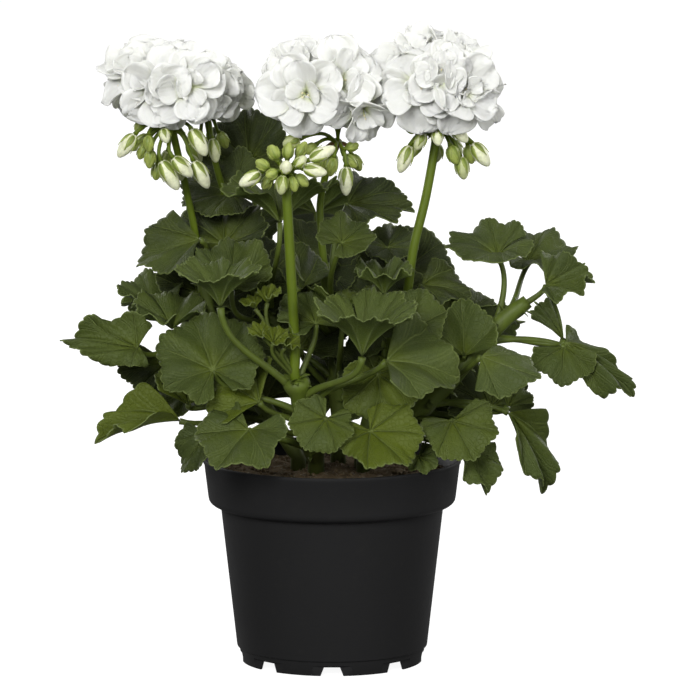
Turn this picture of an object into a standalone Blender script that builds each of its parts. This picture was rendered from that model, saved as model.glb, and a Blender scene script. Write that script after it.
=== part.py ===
"""A white zonal geranium in a 13 cm nursery pot.

The pot stands on the ground at z = 0 with its axis on the z axis, and the front of the plant
faces -Y. Soil fills the pot. Six stems rise from the soil and carry the leaf stalks, each stalk
ends just under the middle of its leaf blade, and five flower stalks go on from the stems.
Each flower stalk carries green buds, and four of them an open white flower head.
"""

import math

import bmesh
import bpy
from mathutils import Vector

# Driving dimensions, in metres.
GAP = 0.0003  # between two pieces that touch

POT_HEIGHT = 0.1034
RIM_RADIUS = 0.0650  # outside of the rim, at the top
COLLAR_HEIGHT = 0.0201
COLLAR_TAPER = 0.0028  # how far the collar narrows on its way down
SHOULDER_HEIGHT = 0.0038
SHOULDER_STEP = 0.0061  # from the collar in to the wall
BASE_RADIUS = 0.0479  # outside of the wall where it meets the foot
FOOT_HEIGHT = 0.0076
FOOT_STEP = 0.0012
FOOT_TAPER = 0.0013
POT_WALL = 0.0012
FLOOR_HEIGHT = 0.0050  # underside of the floor above the ground
SEAT_RADIUS = 0.0130  # round dish in the middle of the floor that stands on the ground
POT_STEPS = 36

NOTCH_COUNT = 8  # drain notches in the foot, one of them at the front
NOTCH_WIDTH = 0.0150
NOTCH_TOP_WIDTH = 0.0080
NOTCH_HEIGHT = 0.0044
DRAIN_COUNT = 8  # drain holes through the floor
DRAIN_RADIUS = 0.0040
DRAIN_CIRCLE = 0.0340

SOIL_DEPTH_BELOW_RIM = 0.0054  # in the middle of the pot
SOIL_FALL = 0.0030  # lower at the pot's wall than in the middle

PLANT_SIZE = 1.0  # scales the whole plant above the soil
LEAF_RIM = 0.0650  # rim radius that the leaves over the rim hang clear of
BLADE_THICKNESS = 0.0008
BLADE_STEPS = 10
BLADE_RINGS = 2
PETIOLE_RADIUS = 0.0014
PETIOLE_STEPS = 4
PETIOLE_CLEARANCE = 0.00008  # from the middle of a blade to its stalk, with half the stalk's radius
HUB_RADIUS = 0.0030
PEDICEL_RADIUS = 0.0009
FLORET_RADIUS = 0.0170
PETAL_THICKNESS = 0.0008

SOIL_TOP = POT_HEIGHT - SOIL_DEPTH_BELOW_RIM

COLOURS = {
    "black_pot": ((0.012, 0.012, 0.012), 0.5),
    "peat_soil": ((0.060, 0.035, 0.020), 0.95),
    "green_stem": ((0.130, 0.200, 0.040), 0.5),
    "green_leaf": ((0.050, 0.110, 0.025), 0.55),
    "white_petal": ((0.820, 0.830, 0.780), 0.5),
}

# Plant coordinates are millimetres from the middle of the soil's surface: X to the right,
# Y to the back, Z up. A stem is its route, its radius at the soil and its radius at the tip.
STEMS = {
    "front": ([(-8, -14, 5), (-11, -29, 24), (-16, -40, 42), (-18, -43, 52)], 4.2, 3.2),
    "right": ([(16, -5, 5), (32, -7, 20), (54, -10, 40), (82, -6, 72), (98, -5, 85)], 4.0, 3.5),
    "left": ([(-17, 1, 5), (-32, 1, 27), (-48, 2, 50), (-60, 5, 74), (-66, 6, 98)], 4.0, 2.4),
    "centre": ([(15, 9, 5), (23, 8, 34), (33, 4, 62), (37, 2, 82)], 4.0, 2.8),
    "back": ([(3, 17, 5), (3, 20, 34), (0, 17, 68), (-4, 10, 102)], 4.0, 2.6),
    "back_left": ([(-10, 16, 5), (-20, 23, 44), (-33, 24, 79), (-45, 20, 112)], 3.6, 2.2),
}

# A flower stalk goes on from its stem's tip to its hub.
FLOWER_STALKS = {
    "front": {"stem": "front", "radius": 2.7,
               "route": [(-18.3, -45, 68), (-20, -49, 102), (-22, -52, 140), (-22.6, -52, 155)]},
    "left": {"stem": "left", "radius": 2,
              "route": [(-68.5, 5, 117), (-73, 0, 141), (-80, -10, 174)]},
    "left_back": {"stem": "back_left", "radius": 1.8,
                   "route": [(-52, 18, 130), (-57, 16, 146), (-60, 13, 160), (-63, 10, 178)]},
    "middle": {"stem": "back", "radius": 2,
                "route": [(-5.5, 9, 117), (-6, 10, 132), (-3, 7, 148), (3, -4, 166)]},
    "right": {"stem": "centre", "radius": 2.5,
               "route": [(38.5, 1, 94), (41, 0, 112), (47, 1, 137), (53, 3, 170)]},
}

# The buds of each flower stalk: where the bud starts, where its tip is and its radius.
BUDS = {
    "left": [
        ((-98, -18, 171), (-106, -18, 160), 3.7), ((-93, -10, 177), (-98, -10, 172), 2.5),
        ((-91, -22, 171), (-91, -22, 163), 2.8), ((-84, -26, 175), (-82, -27, 168), 2.8),
        ((-93, -12, 165), (-96, -12, 158), 2.6), ((-90, -16, 163), (-91, -16, 154), 3),
        ((-87, -8, 155), (-88, -8, 147), 2.8), ((-85, -20, 158), (-77, -20, 144), 4.2),
        ((-79, -24, 160), (-70, -24, 151), 3.9), ((-69, -14, 157), (-62, -14, 144), 3.9),
        ((-70, -20, 174), (-63, -20, 161), 4), ((-77, -4, 156), (-75, -2, 146), 3.2),
        ((-82, 4, 160), (-84, 10, 149), 3.4), ((-72, 6, 164), (-66, 12, 154), 3.4),
        ((-92, 2, 168), (-100, 8, 160), 3),
    ],
    "left_back": [
        ((-60, 4, 166), (-58, 0, 155), 3.2), ((-66, 12, 168), (-68, 16, 158), 3),
        ((-57, 14, 168), (-53, 18, 160), 3),
    ],
    "front": [
        ((-35, -58, 157), (-45, -59, 151), 3.5), ((-31, -60, 159), (-37, -61, 163), 2.8),
        ((-27, -56, 163), (-30, -56, 170), 3), ((-22, -54, 163), (-21, -54, 171), 2.8),
        ((-23, -62, 158), (-22, -67, 163), 3.2), ((-24, -62, 156), (-25, -63, 147), 3.2),
        ((-18, -60, 160), (-13, -61, 165), 2.7), ((-11, -57, 163), (1, -57, 169), 3.5),
        ((-14, -59, 159), (-3, -60, 157), 3.3), ((-18, -54, 155), (-12, -54, 150), 2.8),
        ((-30, -50, 154), (-34, -50, 148), 2.8), ((-20, -58, 155), (-18, -60, 148), 2.6),
        ((-27, -62, 158), (-32, -65, 156), 2.6), ((-17, -48, 163), (-13, -44, 170), 2.8),
        ((-27, -48, 162), (-31, -44, 168), 2.8), ((-22, -46, 157), (-21, -40, 152), 3),
    ],
    "middle": [
        ((7, -12, 154), (7, -12, 140), 3.7), ((1, -16, 159), (-1, -16, 150), 2.8),
        ((7, -12, 163), (13, -12, 165), 2.5), ((-16, -20, 169), (-24, -20, 166), 3.4),
        ((6, -6, 159), (12, -6, 153), 2.8), ((-4, 2, 158), (-7, 2, 150), 3),
        ((10, 2, 158), (14, 6, 150), 3), ((-8, -12, 165), (-13, -14, 161), 2.8),
        ((0, 4, 158), (0, 10, 149), 3.2),
    ],
    "right": [
        ((39, -8, 164), (34, -8, 151), 3.7), ((46, -14, 171), (42, -14, 163), 2.9),
        ((52, -18, 173), (53, -21, 166), 3), ((59, -14, 176), (67, -14, 167), 3.6),
        ((59, -8, 164), (62, -8, 155), 3.3), ((64, -4, 158), (66, -4, 147), 3.6),
        ((68, 2, 163), (70, 2, 154), 3.2), ((70, -6, 165), (78, -6, 154), 3.9),
        ((42, 6, 169), (37, 6, 173), 2.5), ((65, 4, 170), (71, 4, 175), 2.6),
        ((53, 12, 162), (52, 16, 153), 3.4), ((44, 8, 164), (38, 12, 156), 3.4),
        ((60, 10, 164), (64, 16, 156), 3.4),
    ],
}

# The open florets of each flower head: the middle of the floret, the way it faces and its size.
FLOWER_HEADS = {
    "left": [
        ((-99, -10, 203), (-0.4, -0.6, 0.65), 1.1),
        ((-104, -6, 194), (-0.7, -0.4, -0.4), 0.8),
        ((-86, -27, 194), (-0.15, -0.9, 0), 1.12),
        ((-72, -30, 196), (0.1, -0.9, 0.05), 1.08),
        ((-80, -14, 204), (0.05, -0.65, 0.75), 1.1),
        ((-91, -18, 200), (-0.3, -0.8, 0.5), 0.9),
        ((-84, 10, 199), (-0.1, 0.5, 0.85), 1),
        ((-97, 14, 194), (-0.6, 0.75, 0.1), 1),
        ((-86, 25, 191), (0.1, 0.95, 0.15), 1),
    ],
    "left_back": [
        ((-53, -10, 195), (0.5, -0.8, 0.1), 0.9),
        ((-55, 2, 199), (0.2, -0.5, 0.85), 0.75),
        ((-61, -14, 189), (0.25, -0.85, -0.45), 0.85),
        ((-54, 12, 195), (0.8, 0.3, 0.4), 0.9),
        ((-51, 24, 188), (0.1, 0.95, 0.1), 0.9),
    ],
    "middle": [
        ((-13, -36, 193), (-0.1, -0.97, 0.05), 1.18),
        ((5, -28, 199), (0.25, -0.9, 0.25), 1.12),
        ((-16, -14, 206), (-0.2, -0.6, 0.75), 1),
        ((4, -10, 206), (0.15, -0.5, 0.85), 1),
        ((-27, -10, 199), (-0.8, -0.5, 0.3), 0.95),
        ((17, -24, 182), (0.4, -0.7, -0.6), 1.05),
        ((16, -8, 191), (0.8, -0.4, 0.1), 0.8),
        ((-4, 6, 208), (0, 0.3, 0.95), 1),
        ((-19, 20, 194), (-0.5, 0.8, 0.2), 1),
        ((4, 22, 192), (0.2, 0.95, 0.1), 1),
    ],
    "right": [
        ((43, -31, 195), (-0.2, -0.95, 0.1), 1.1),
        ((65, -30, 194), (0.4, -0.85, 0), 1.12),
        ((36, -12, 206), (-0.45, -0.6, 0.6), 1.05),
        ((46, -8, 211), (-0.05, -0.5, 0.85), 1.05),
        ((62, -12, 208), (0.3, -0.6, 0.75), 1.1),
        ((74, -8, 200), (0.85, -0.4, 0.25), 0.9),
        ((73, -18, 187), (0.6, -0.6, -0.55), 0.95),
        ((52, 12, 210), (0.1, 0.4, 0.9), 1.05),
        ((66, 20, 198), (0.5, 0.85, 0.2), 1),
        ((36, 20, 197), (-0.5, 0.8, 0.2), 1),
        ((51, 26, 190), (0, 0.97, 0), 1),
        ((54, -34, 203), (0.05, -0.9, 0.4), 0.85),
    ],
}


def leaf(stem, along, at, normal, tip, radius, spread=160, cup=0.3, fold=0.1, curl=-0.3, droop=-0.15,
         back=0.75, thick=1.0, lead=0.45, narrow=1.0, over_rim=False):
    """One leaf: the stem it grows on and how far along it, and its blade.

    at is where the stalk meets the blade, normal the way the upper side faces and tip the way
    the midrib runs, all in plant coordinates. The blade is drawn round that point: spread is
    the angle in degrees it reaches to each side of the midrib, cup how steeply it rises, fold how
    much more its sides rise, curl and droop how it bends on its way out, all over and at the
    tip, back its radius beside the notch as a share of the radius at the tip, and narrow how far
    its sides are drawn in. The stalk is thick times as thick as most, and comes in along the
    midrib by lead. A leaf over the rim moves out with it.
    """
    return {
        "stem": stem, "along": along, "at": at, "normal": normal, "tip": tip, "radius": radius,
        "spread": math.radians(spread), "cup": cup, "fold": fold, "curl": curl, "droop": droop,
        "back": back, "thick": thick, "lead": lead, "narrow": narrow, "over_rim": over_rim,
    }


LEAVES = {
    "left_1": leaf("left", 0.65, (-97, -25, 64), (0.1, -0.75, 0.65), (-1, -0.1, 0.15), 38, spread=105,
                   cup=0.1, fold=0.2, curl=-0.2, back=0.6, narrow=0.42),
    "left_2": leaf("left", 0.78, (-91, 22, 77), (-0.05, -0.2, 1), (-0.3, 0.95, 0.1), 22, cup=0.8, fold=0,
                   curl=-0.5, droop=0),
    "left_3": leaf("left", 0.55, (-80, -11, 72), (0, -0.15, 1), (-0.5, 0.85, 0), 25, cup=0.75, fold=0,
                   curl=-0.45, droop=0),
    "left_4": leaf("left", 0.9, (-66, -10, 117), (-0.3, -0.6, 0.7), (-0.93, -0.1, -0.3), 33, spread=75,
                   cup=0.2, fold=0.2, narrow=0.75),
    "left_5": leaf("left", 0.45, (-84, 16, 50), (0, -0.7, 0.7), (-1, -0.1, -0.35), 24, spread=55),
    "left_6": leaf("left", 0.25, (-76, -20, 27), (0, -0.35, 0.9), (-0.92, -0.1, -0.28), 42, spread=65,
                   cup=0.1, fold=0.4, curl=-0.2, lead=2.5, narrow=0.42),
    "left_7": leaf("left", 0.35, (-72, -2, 32), (0.3, -0.9, 0.2), (-0.15, 0.1, 1), 24, spread=62, cup=0.1,
                   fold=0.5),
    "left_8": leaf("front", 0.25, (-61, -33, 22), (-0.4, -0.8, 0.45), (-0.75, -0.2, -0.65), 23, spread=80,
                   cup=0.1, fold=0.3, narrow=0.6, over_rim=True),
    "crown_1": leaf("back_left", 0.65, (-26, -20, 127), (0, 0.12, 1), (-0.1, 0.95, 0), 36, cup=0.8, fold=0,
                    curl=-0.55, droop=0, back=0.85),
    "crown_2": leaf("back_left", 0.78, (-42, 35, 151), (-0.2, -0.85, 0.45), (-0.1, 0.3, 0.9), 27,
                    spread=150),
    "crown_3": leaf("back_left", 0.55, (-50, -27, 94), (0, -0.4, 0.9), (0.05, 0.9, 0.3), 28, spread=150,
                    cup=0.6, fold=0, curl=-0.4, droop=0, back=0.5),
    "crown_4": leaf("back", 0.72, (5, -30, 118), (0.1, -0.6, 0.8), (0.5, 0.2, 0.6), 17),
    "crown_5": leaf("back", 0.6, (-16, -20, 94), (0.9, -0.4, 0.1), (-0.1, 0.1, 1), 23, spread=75, cup=0.1,
                    fold=0.5),
    "crown_6": leaf("back", 0.82, (8, 17, 131), (0, -0.6, 0.8), (0.95, -0.1, 0.05), 32, spread=95, cup=0.1,
                    fold=0.2, curl=-0.2, narrow=0.65),
    "crown_7": leaf("centre", 0.7, (28, 24, 108), (0, -0.4, 0.9), (0.2, -0.8, -0.1), 18, spread=150),
    "front_1": leaf("front", 0.8, (-55, -58, 90), (-0.05, -0.1, 1), (-0.3, -0.9, 0), 28, spread=179,
                    cup=1.05, fold=0, curl=-0.7, droop=0, back=1, thick=1.2, lead=0),
    "front_2": leaf("front", 0.62, (-59, -42, 56), (-0.05, -0.75, 0.6), (-0.3, 0.4, 0.8), 33, spread=165,
                    cup=0.15, back=0.6),
    "front_3": leaf("front", 0.4, (-41, -55, 28), (-0.15, -0.65, 0.75), (-0.5, -0.6, -0.6), 30, spread=130,
                    back=0.5),
    "front_4": leaf("front", 0.35, (-3, -52, 33), (0.1, -0.8, 0.55), (-0.5, -0.5, -0.7), 21, spread=150,
                    back=0.5),
    "front_5": leaf("front", 0.3, (19, -48, 26), (0.05, -0.7, 0.7), (0.6, -0.5, -0.6), 29, spread=150,
                    back=0.4, thick=1.2),
    "front_6": leaf("centre", 0.4, (23, -31, 52), (0, -0.95, 0.3), (0.1, -0.12, -0.99), 26, spread=130,
                    cup=0.15, back=0.4),
    "front_7": leaf("front", 0.7, (27, -53, 62), (0.1, -0.6, 0.75), (0.95, 0, -0.12), 36, spread=85,
                    cup=0.25, fold=0.2, curl=-0.45, thick=1.2, narrow=0.9),
    "front_8": leaf("front", 0.78, (15, -63, 66), (0.05, -0.16, 1), (0.3, -0.9, 0), 35, spread=179, cup=1.1,
                    fold=0, curl=-0.7, droop=0, back=1, thick=1.2, lead=0),
    "middle_1": leaf("centre", 0.5, (39, -30, 74), (0, -0.8, 0.5), (0.2, 0.4, 0.9), 22, spread=130,
                     back=0.6),
    "middle_2": leaf("centre", 0.62, (26, -22, 91), (0, -0.1, 1), (-0.3, -0.9, 0), 20, spread=179, cup=1,
                     fold=0, curl=-0.5, droop=0, back=1, lead=0),
    "middle_3": leaf("centre", 0.76, (45, 2, 92), (0, -0.55, 0.8), (0.93, -0.1, -0.25), 25, spread=85,
                     droop=-0.4, narrow=0.7),
    "right_1": leaf("right", 0.3, (60, -34, 29), (0.1, -0.8, 0.6), (0.4, -0.5, -0.75), 25, spread=110,
                    back=0.5),
    "right_2": leaf("right", 0.2, (67, -28, 14), (0.5, -0.7, 0.5), (0.45, -0.3, -0.85), 25, spread=80,
                    cup=0.1, fold=0.4, narrow=0.6, over_rim=True),
    "right_3": leaf("right", 0.4, (88, -20, 31), (0.6, -0.7, 0.35), (0.72, -0.1, -0.7), 47, spread=75,
                    cup=0, fold=0.3, lead=1, narrow=0.36, over_rim=True),
    "right_4": leaf("centre", 0.3, (80, 4, 30), (0.1, -0.8, 0.5), (-0.4, 0.2, 0.85), 25, spread=140),
    "right_5": leaf("right", 0.5, (74, -45, 63), (0.15, -0.55, 0.8), (0.9, -0.2, -0.3), 31, spread=80,
                    cup=0.1, fold=-0.2, narrow=0.8),
    "right_6": leaf("right", 0.62, (66, -15, 59), (0.1, -0.95, 0.25), (-0.05, 0.2, 1), 28, spread=85,
                    fold=0.5, narrow=0.75),
    "right_7": leaf("right", 0.75, (117, -10, 65), (0.3, -0.7, 0.6), (0.83, -0.05, -0.55), 42, spread=100,
                    cup=0.1, fold=-0.3, curl=-0.2, back=0.5, narrow=0.42),
    "right_8": leaf("right", 0.82, (83, 0, 107), (-0.1, -0.3, 0.95), (-0.9, -0.3, 0.1), 28, spread=170,
                    cup=0.7, fold=0, curl=-0.8, back=0.7),
    "right_9": leaf("right", 0.88, (99, 22, 101), (0.1, -0.35, 0.95), (0.8, 0.3, 0.1), 26, spread=165,
                    cup=0.6, fold=0, curl=-0.7),
    "right_10": leaf("right", 0.94, (107, -6, 93), (-0.1, -0.6, 0.8), (0.95, -0.1, 0.15), 24, spread=95,
                     narrow=0.8),
    "back_1": leaf("left", 0.7, (-78, 58, 76), (-0.2, 0.4, 0.9), (-0.8, 0.6, -0.1), 30),
    "back_2": leaf("back_left", 0.45, (-52, 62, 107), (-0.1, 0.5, 0.85), (-0.4, 0.9, 0), 34),
    "back_3": leaf("back", 0.66, (-8, 66, 120), (0, 0.5, 0.85), (0, 1, 0), 34),
    "back_4": leaf("centre", 0.56, (18, 60, 98), (0.1, 0.5, 0.85), (0.5, 0.85, -0.1), 32),
    "back_5": leaf("right", 0.65, (66, 48, 66), (0.2, 0.4, 0.9), (0.8, 0.6, -0.1), 32),
    "back_6": leaf("back_left", 0.3, (-52, 62, 50), (-0.3, 0.6, 0.75), (-0.6, 0.8, -0.3), 33),
    "back_7": leaf("centre", 0.3, (40, 64, 50), (0.3, 0.6, 0.75), (0.6, 0.8, -0.3), 33),
}


def clear_scene():
    for old in list(bpy.data.objects):
        bpy.data.objects.remove(old, do_unlink=True)


def new_collection(name):
    collection = bpy.data.collections.new(name)
    bpy.context.scene.collection.children.link(collection)
    return collection


def make_materials():
    materials = {}
    for name, (colour, roughness) in COLOURS.items():
        material = bpy.data.materials.new(name)
        material.use_nodes = True
        shader = material.node_tree.nodes["Principled BSDF"]
        shader.inputs["Base Color"].default_value = (*colour, 1.0)
        shader.inputs["Roughness"].default_value = roughness
        materials[name] = material
    return materials


def add_object(name, mesh, collection, material=None):
    piece = bpy.data.objects.new(name, mesh)
    if material:
        mesh.materials.append(material)
    collection.objects.link(piece)
    return piece


def from_bmesh(name, shape, collection, material=None):
    mesh = bpy.data.meshes.new(name)
    shape.to_mesh(mesh)
    shape.free()
    return add_object(name, mesh, collection, material)


def as_helper(piece):
    piece.hide_render = True
    piece.display_type = "WIRE"


def boolean(piece, operation, helper):
    modifier = piece.modifiers.new(operation.lower(), "BOOLEAN")
    modifier.operation = operation
    modifier.solver = "EXACT"
    modifier.object = helper


def join_all(piece, parts, helpers):
    """Joins a piece and its parts, which touch or cross it, into one body."""
    group = bpy.data.collections.new(piece.name + "_parts")
    helpers.children.link(group)
    for part in parts:
        helpers.objects.unlink(part)
        group.objects.link(part)
        as_helper(part)
    modifier = piece.modifiers.new("join", "BOOLEAN")
    modifier.operation = "UNION"
    modifier.solver = "EXACT"
    modifier.operand_type = "COLLECTION"
    modifier.collection = group


def smooth_shading(piece, degrees=40):
    piece.data.shade_smooth()
    piece.data.set_sharp_from_angle(angle=math.radians(degrees))


def plant_point(place):
    """Plant coordinates in millimetres to metres in the pot's frame."""
    return Vector(place) * 0.001 * PLANT_SIZE + Vector((0.0, 0.0, SOIL_TOP + GAP))


def curve_through(points, spans):
    """Points on a smooth curve through the given points, with that many steps from one to the next."""
    ends = [points[0] * 2 - points[1], *points, points[-1] * 2 - points[-2]]
    smooth = []
    for i in range(1, len(ends) - 2):
        before, start, stop, after = ends[i - 1 : i + 3]
        for step in range(spans):
            t = step / spans
            smooth.append(
                0.5 * (2 * start + (stop - before) * t + (2 * before - 5 * start + 4 * stop - after) * t**2
                       + (3 * start - before - 3 * stop + after) * t**3)
            )
    return [*smooth, points[-1]]


def tube(name, points, radii, collection, material=None, corners=6):
    """A closed round tube, as a mesh, through points with a radius at each."""
    curve = bpy.data.curves.new(name + "_curve", "CURVE")
    curve.dimensions = "3D"
    curve.bevel_depth = 1.0
    curve.bevel_resolution = corners // 2 - 2
    curve.use_fill_caps = True
    spline = curve.splines.new("POLY")
    spline.points.add(len(points) - 1)
    for spot, place, radius in zip(spline.points, points, radii):
        spot.co = (*place, 1.0)
        spot.radius = radius
    guide = bpy.data.objects.new(name + "_guide", curve)
    collection.objects.link(guide)
    bpy.context.view_layer.update()
    mesh = bpy.data.meshes.new_from_object(guide.evaluated_get(bpy.context.evaluated_depsgraph_get()))
    bpy.data.objects.remove(guide)
    shape = bmesh.new()
    shape.from_mesh(mesh)
    bmesh.ops.remove_doubles(shape, verts=shape.verts, dist=1e-6)
    bmesh.ops.recalc_face_normals(shape, faces=shape.faces)
    shape.to_mesh(mesh)
    shape.free()
    mesh.name = name
    return add_object(name, mesh, collection, material)


def turned(name, profile, collection, material):
    """A turned solid from (radius, height) points that end on the axis and run down the outside."""
    shape = bmesh.new()
    corners = [shape.verts.new((radius, 0.0, height)) for radius, height in profile]
    for first, second in zip(corners, corners[1:]):
        shape.edges.new((first, second))
    piece = from_bmesh(name, shape, collection, material)
    screw = piece.modifiers.new("turn", "SCREW")
    screw.steps = POT_STEPS
    screw.render_steps = POT_STEPS
    screw.use_merge_vertices = True
    screw.merge_threshold = 1e-5
    return piece


def pot_outline():
    """The pot's outer side from rim to foot, as (radius, height)."""
    collar_foot = RIM_RADIUS - COLLAR_TAPER
    wall_top = collar_foot - SHOULDER_STEP
    collar_low = POT_HEIGHT - COLLAR_HEIGHT
    shoulder_low = collar_low - SHOULDER_HEIGHT
    foot_top = BASE_RADIUS - FOOT_STEP
    return [
        (RIM_RADIUS, POT_HEIGHT),
        (collar_foot, collar_low),
        (collar_foot - 0.3 * SHOULDER_STEP, collar_low - 0.45 * SHOULDER_HEIGHT),
        (collar_foot - 0.7 * SHOULDER_STEP, collar_low - 0.8 * SHOULDER_HEIGHT),
        (wall_top, shoulder_low),
        (BASE_RADIUS, FOOT_HEIGHT),
        (foot_top, FOOT_HEIGHT - 0.5 * FOOT_STEP),
        (foot_top - FOOT_TAPER, 0.0),
    ]


def pot_inside():
    """The pot's inner side from the rim down to the floor's edge, as (radius, height)."""
    outline = pot_outline()
    floor_top = FLOOR_HEIGHT + POT_WALL
    lifted = [(radius - POT_WALL, height + 0.4 * POT_WALL) for radius, height in outline[1:5]]
    base = (outline[6][0] - POT_WALL, floor_top)
    return [(RIM_RADIUS - POT_WALL, POT_HEIGHT), *lifted, base]


def make_pot(collection, helpers, material):
    inside = pot_inside()
    outline = pot_outline()
    foot_inner = outline[-1][0] - POT_WALL
    floor_top = inside[-1][1]
    dish_slope = 0.6 * FLOOR_HEIGHT
    profile = [
        (0.0, POT_WALL),
        (SEAT_RADIUS - 0.5 * POT_WALL, POT_WALL),
        (SEAT_RADIUS - 0.5 * POT_WALL + dish_slope, floor_top),
        *reversed(inside),
        *outline,
        (foot_inner, 0.0),
        (foot_inner, FLOOR_HEIGHT),
        (SEAT_RADIUS + dish_slope, FLOOR_HEIGHT),
        (SEAT_RADIUS, 0.0),
        (0.0, 0.0),
    ]
    pot = turned("pot", profile, collection, material)

    notches = bmesh.new()
    for number in range(NOTCH_COUNT):
        made = bmesh.ops.create_cube(notches, size=1.0)["verts"]
        turn = 2 * math.pi * number / NOTCH_COUNT - math.pi / 2
        for corner in made:
            top = corner.co.z > 0
            across = corner.co.y * (NOTCH_TOP_WIDTH if top else NOTCH_WIDTH)
            out = outline[-1][0] + corner.co.x * 8 * POT_WALL
            height = NOTCH_HEIGHT if top else -NOTCH_HEIGHT
            corner.co = (
                out * math.cos(turn) - across * math.sin(turn),
                out * math.sin(turn) + across * math.cos(turn),
                height,
            )
    cutter = from_bmesh("foot_notches", notches, helpers)
    as_helper(cutter)
    boolean(pot, "DIFFERENCE", cutter)

    drains = bmesh.new()
    for number in range(DRAIN_COUNT):
        made = bmesh.ops.create_cone(
            drains, cap_ends=True, segments=12, radius1=DRAIN_RADIUS, radius2=DRAIN_RADIUS,
            depth=6 * POT_WALL,
        )["verts"]
        turn = 2 * math.pi * (number + 0.5) / DRAIN_COUNT
        place = Vector((math.cos(turn), math.sin(turn), 0.0)) * DRAIN_CIRCLE
        bmesh.ops.translate(drains, verts=made, vec=place + Vector((0.0, 0.0, FLOOR_HEIGHT)))
    cutter = from_bmesh("floor_drains", drains, helpers)
    as_helper(cutter)
    boolean(pot, "DIFFERENCE", cutter)
    smooth_shading(pot)


def make_soil(collection, material):
    edge_height = SOIL_TOP - SOIL_FALL
    inside = pot_inside()
    (high_radius, high), (low_radius, low) = inside[0], inside[1]
    edge_radius = low_radius + (high_radius - low_radius) * (edge_height - low) / (high - low)
    walls = [(radius - GAP, height + GAP) for radius, height in inside[1:]]
    flat = 0.62 * edge_radius
    profile = [
        (0.0, SOIL_TOP),
        (flat, SOIL_TOP),
        (edge_radius - GAP, edge_height),
        *walls,
        (0.0, inside[-1][1] + GAP),
    ]
    soil = turned("soil", profile, collection, material)
    smooth_shading(soil)


def stem_line(name):
    """A stem's points and radii. It leaves the soil straight up, so that its end lies flat."""
    route, base, tip = STEMS[name]
    ground = plant_point((route[0][0], route[0][1], 0))
    points = [ground, *curve_through([plant_point(place) for place in route], 2)]
    last = len(points) - 1
    radii = [(base + (tip - base) * i / last) * 0.001 * PLANT_SIZE for i in range(last + 1)]
    return points, radii


def point_along(points, share):
    """The point at that share of the way along a line of points, and the direction there."""
    spans = [(second - first).length for first, second in zip(points, points[1:])]
    left = share * sum(spans)
    for first, second, span in zip(points, points[1:], spans):
        if left <= span or second is points[-1]:
            return first.lerp(second, min(left / span, 1.0)), (second - first).normalized()
        left -= span


def blade_axes(shape):
    normal = Vector(shape["normal"]).normalized()
    tip = Vector(shape["tip"])
    tip = (tip - normal * tip.dot(normal)).normalized()
    return tip, normal.cross(tip), normal


def blade_middle(shape):
    middle = plant_point(shape["at"])
    if shape["over_rim"]:
        middle += Vector((middle.x, middle.y, 0.0)).normalized() * (RIM_RADIUS - LEAF_RIM * PLANT_SIZE)
    return middle


def petiole_line(shape):
    """A leaf's stalk: out of the stem, and up to just under the middle of the blade."""
    tip, _, normal = blade_axes(shape)
    points, _ = stem_line(shape["stem"])
    start, heading = point_along(points, shape["along"])
    stop = blade_middle(shape) - normal * (PETIOLE_CLEARANCE + 0.8 * PETIOLE_RADIUS)
    length = (stop - start).length
    leave = (heading + 1.4 * (stop - start).normalized()).normalized()
    arrive = (normal + shape["lead"] * tip).normalized()
    first = start + leave * 0.4 * length
    second = stop - arrive * 0.35 * length
    line = []
    for step in range(PETIOLE_STEPS + 1):
        t = step / PETIOLE_STEPS
        line.append(
            start * (1 - t) ** 3 + first * 3 * t * (1 - t) ** 2 + second * 3 * t**2 * (1 - t) + stop * t**3
        )
    return line


def make_stem(name, collection, helpers, material):
    """A stem and the leaf stalks that grow from it, which are joined later."""
    points, radii = stem_line(name)
    stem = tube("stem_" + name, points, radii, collection, material)
    petioles = []
    for leaf_name, shape in LEAVES.items():
        if shape["stem"] != name:
            continue
        line = petiole_line(shape)
        thick = PETIOLE_RADIUS * shape["thick"]
        radii = [thick * (1.25 - 0.4 * i / (len(line) - 1)) for i in range(len(line))]
        petioles.append(tube("petiole_" + leaf_name, line, radii, helpers))
    smooth_shading(stem)
    return stem, petioles


def make_blade(name, shape, collection, material):
    """A leaf blade, drawn as a fan of arcs from the point where its stalk meets it."""
    tip, side, normal = blade_axes(shape)
    middle = blade_middle(shape)
    radius = shape["radius"] * 0.001 * PLANT_SIZE
    fan = bmesh.new()
    bmesh.ops.create_grid(fan, x_segments=BLADE_STEPS, y_segments=BLADE_RINGS, size=1.0)
    for spot in fan.verts:
        angle = spot.co.x * shape["spread"]
        share = (spot.co.y + 1) / 2
        reach = radius * ((1 + shape["back"]) / 2 + (1 - shape["back"]) / 2 * math.cos(angle))
        rise = shape["cup"] + shape["fold"] * math.sin(angle) ** 2
        bend = shape["curl"] + shape["droop"] * math.cos(angle)
        turn = rise + bend * share
        if abs(bend) > 1e-4:
            out = (math.sin(turn) - math.sin(rise)) / bend
            up = (math.cos(rise) - math.cos(turn)) / bend
        else:
            out = math.cos(rise) * share
            up = math.sin(rise) * share
        flat = tip * math.cos(angle) + side * math.sin(angle) * shape["narrow"]
        spot.co = middle + reach * (out * flat + up * normal)
    bmesh.ops.remove_doubles(fan, verts=fan.verts, dist=1e-6)
    bmesh.ops.recalc_face_normals(fan, faces=fan.faces)
    blade = from_bmesh("leaf_" + name, fan, collection, material)
    solid = blade.modifiers.new("thickness", "SOLIDIFY")
    solid.thickness = BLADE_THICKNESS
    solid.offset = 0.0
    smooth_shading(blade, 180)


def ball(name, centre, radius, collection, material=None):
    shape = bmesh.new()
    bmesh.ops.create_uvsphere(shape, u_segments=8, v_segments=5, radius=radius)
    bmesh.ops.translate(shape, verts=shape.verts, vec=centre)
    return from_bmesh(name, shape, collection, material)


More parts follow.
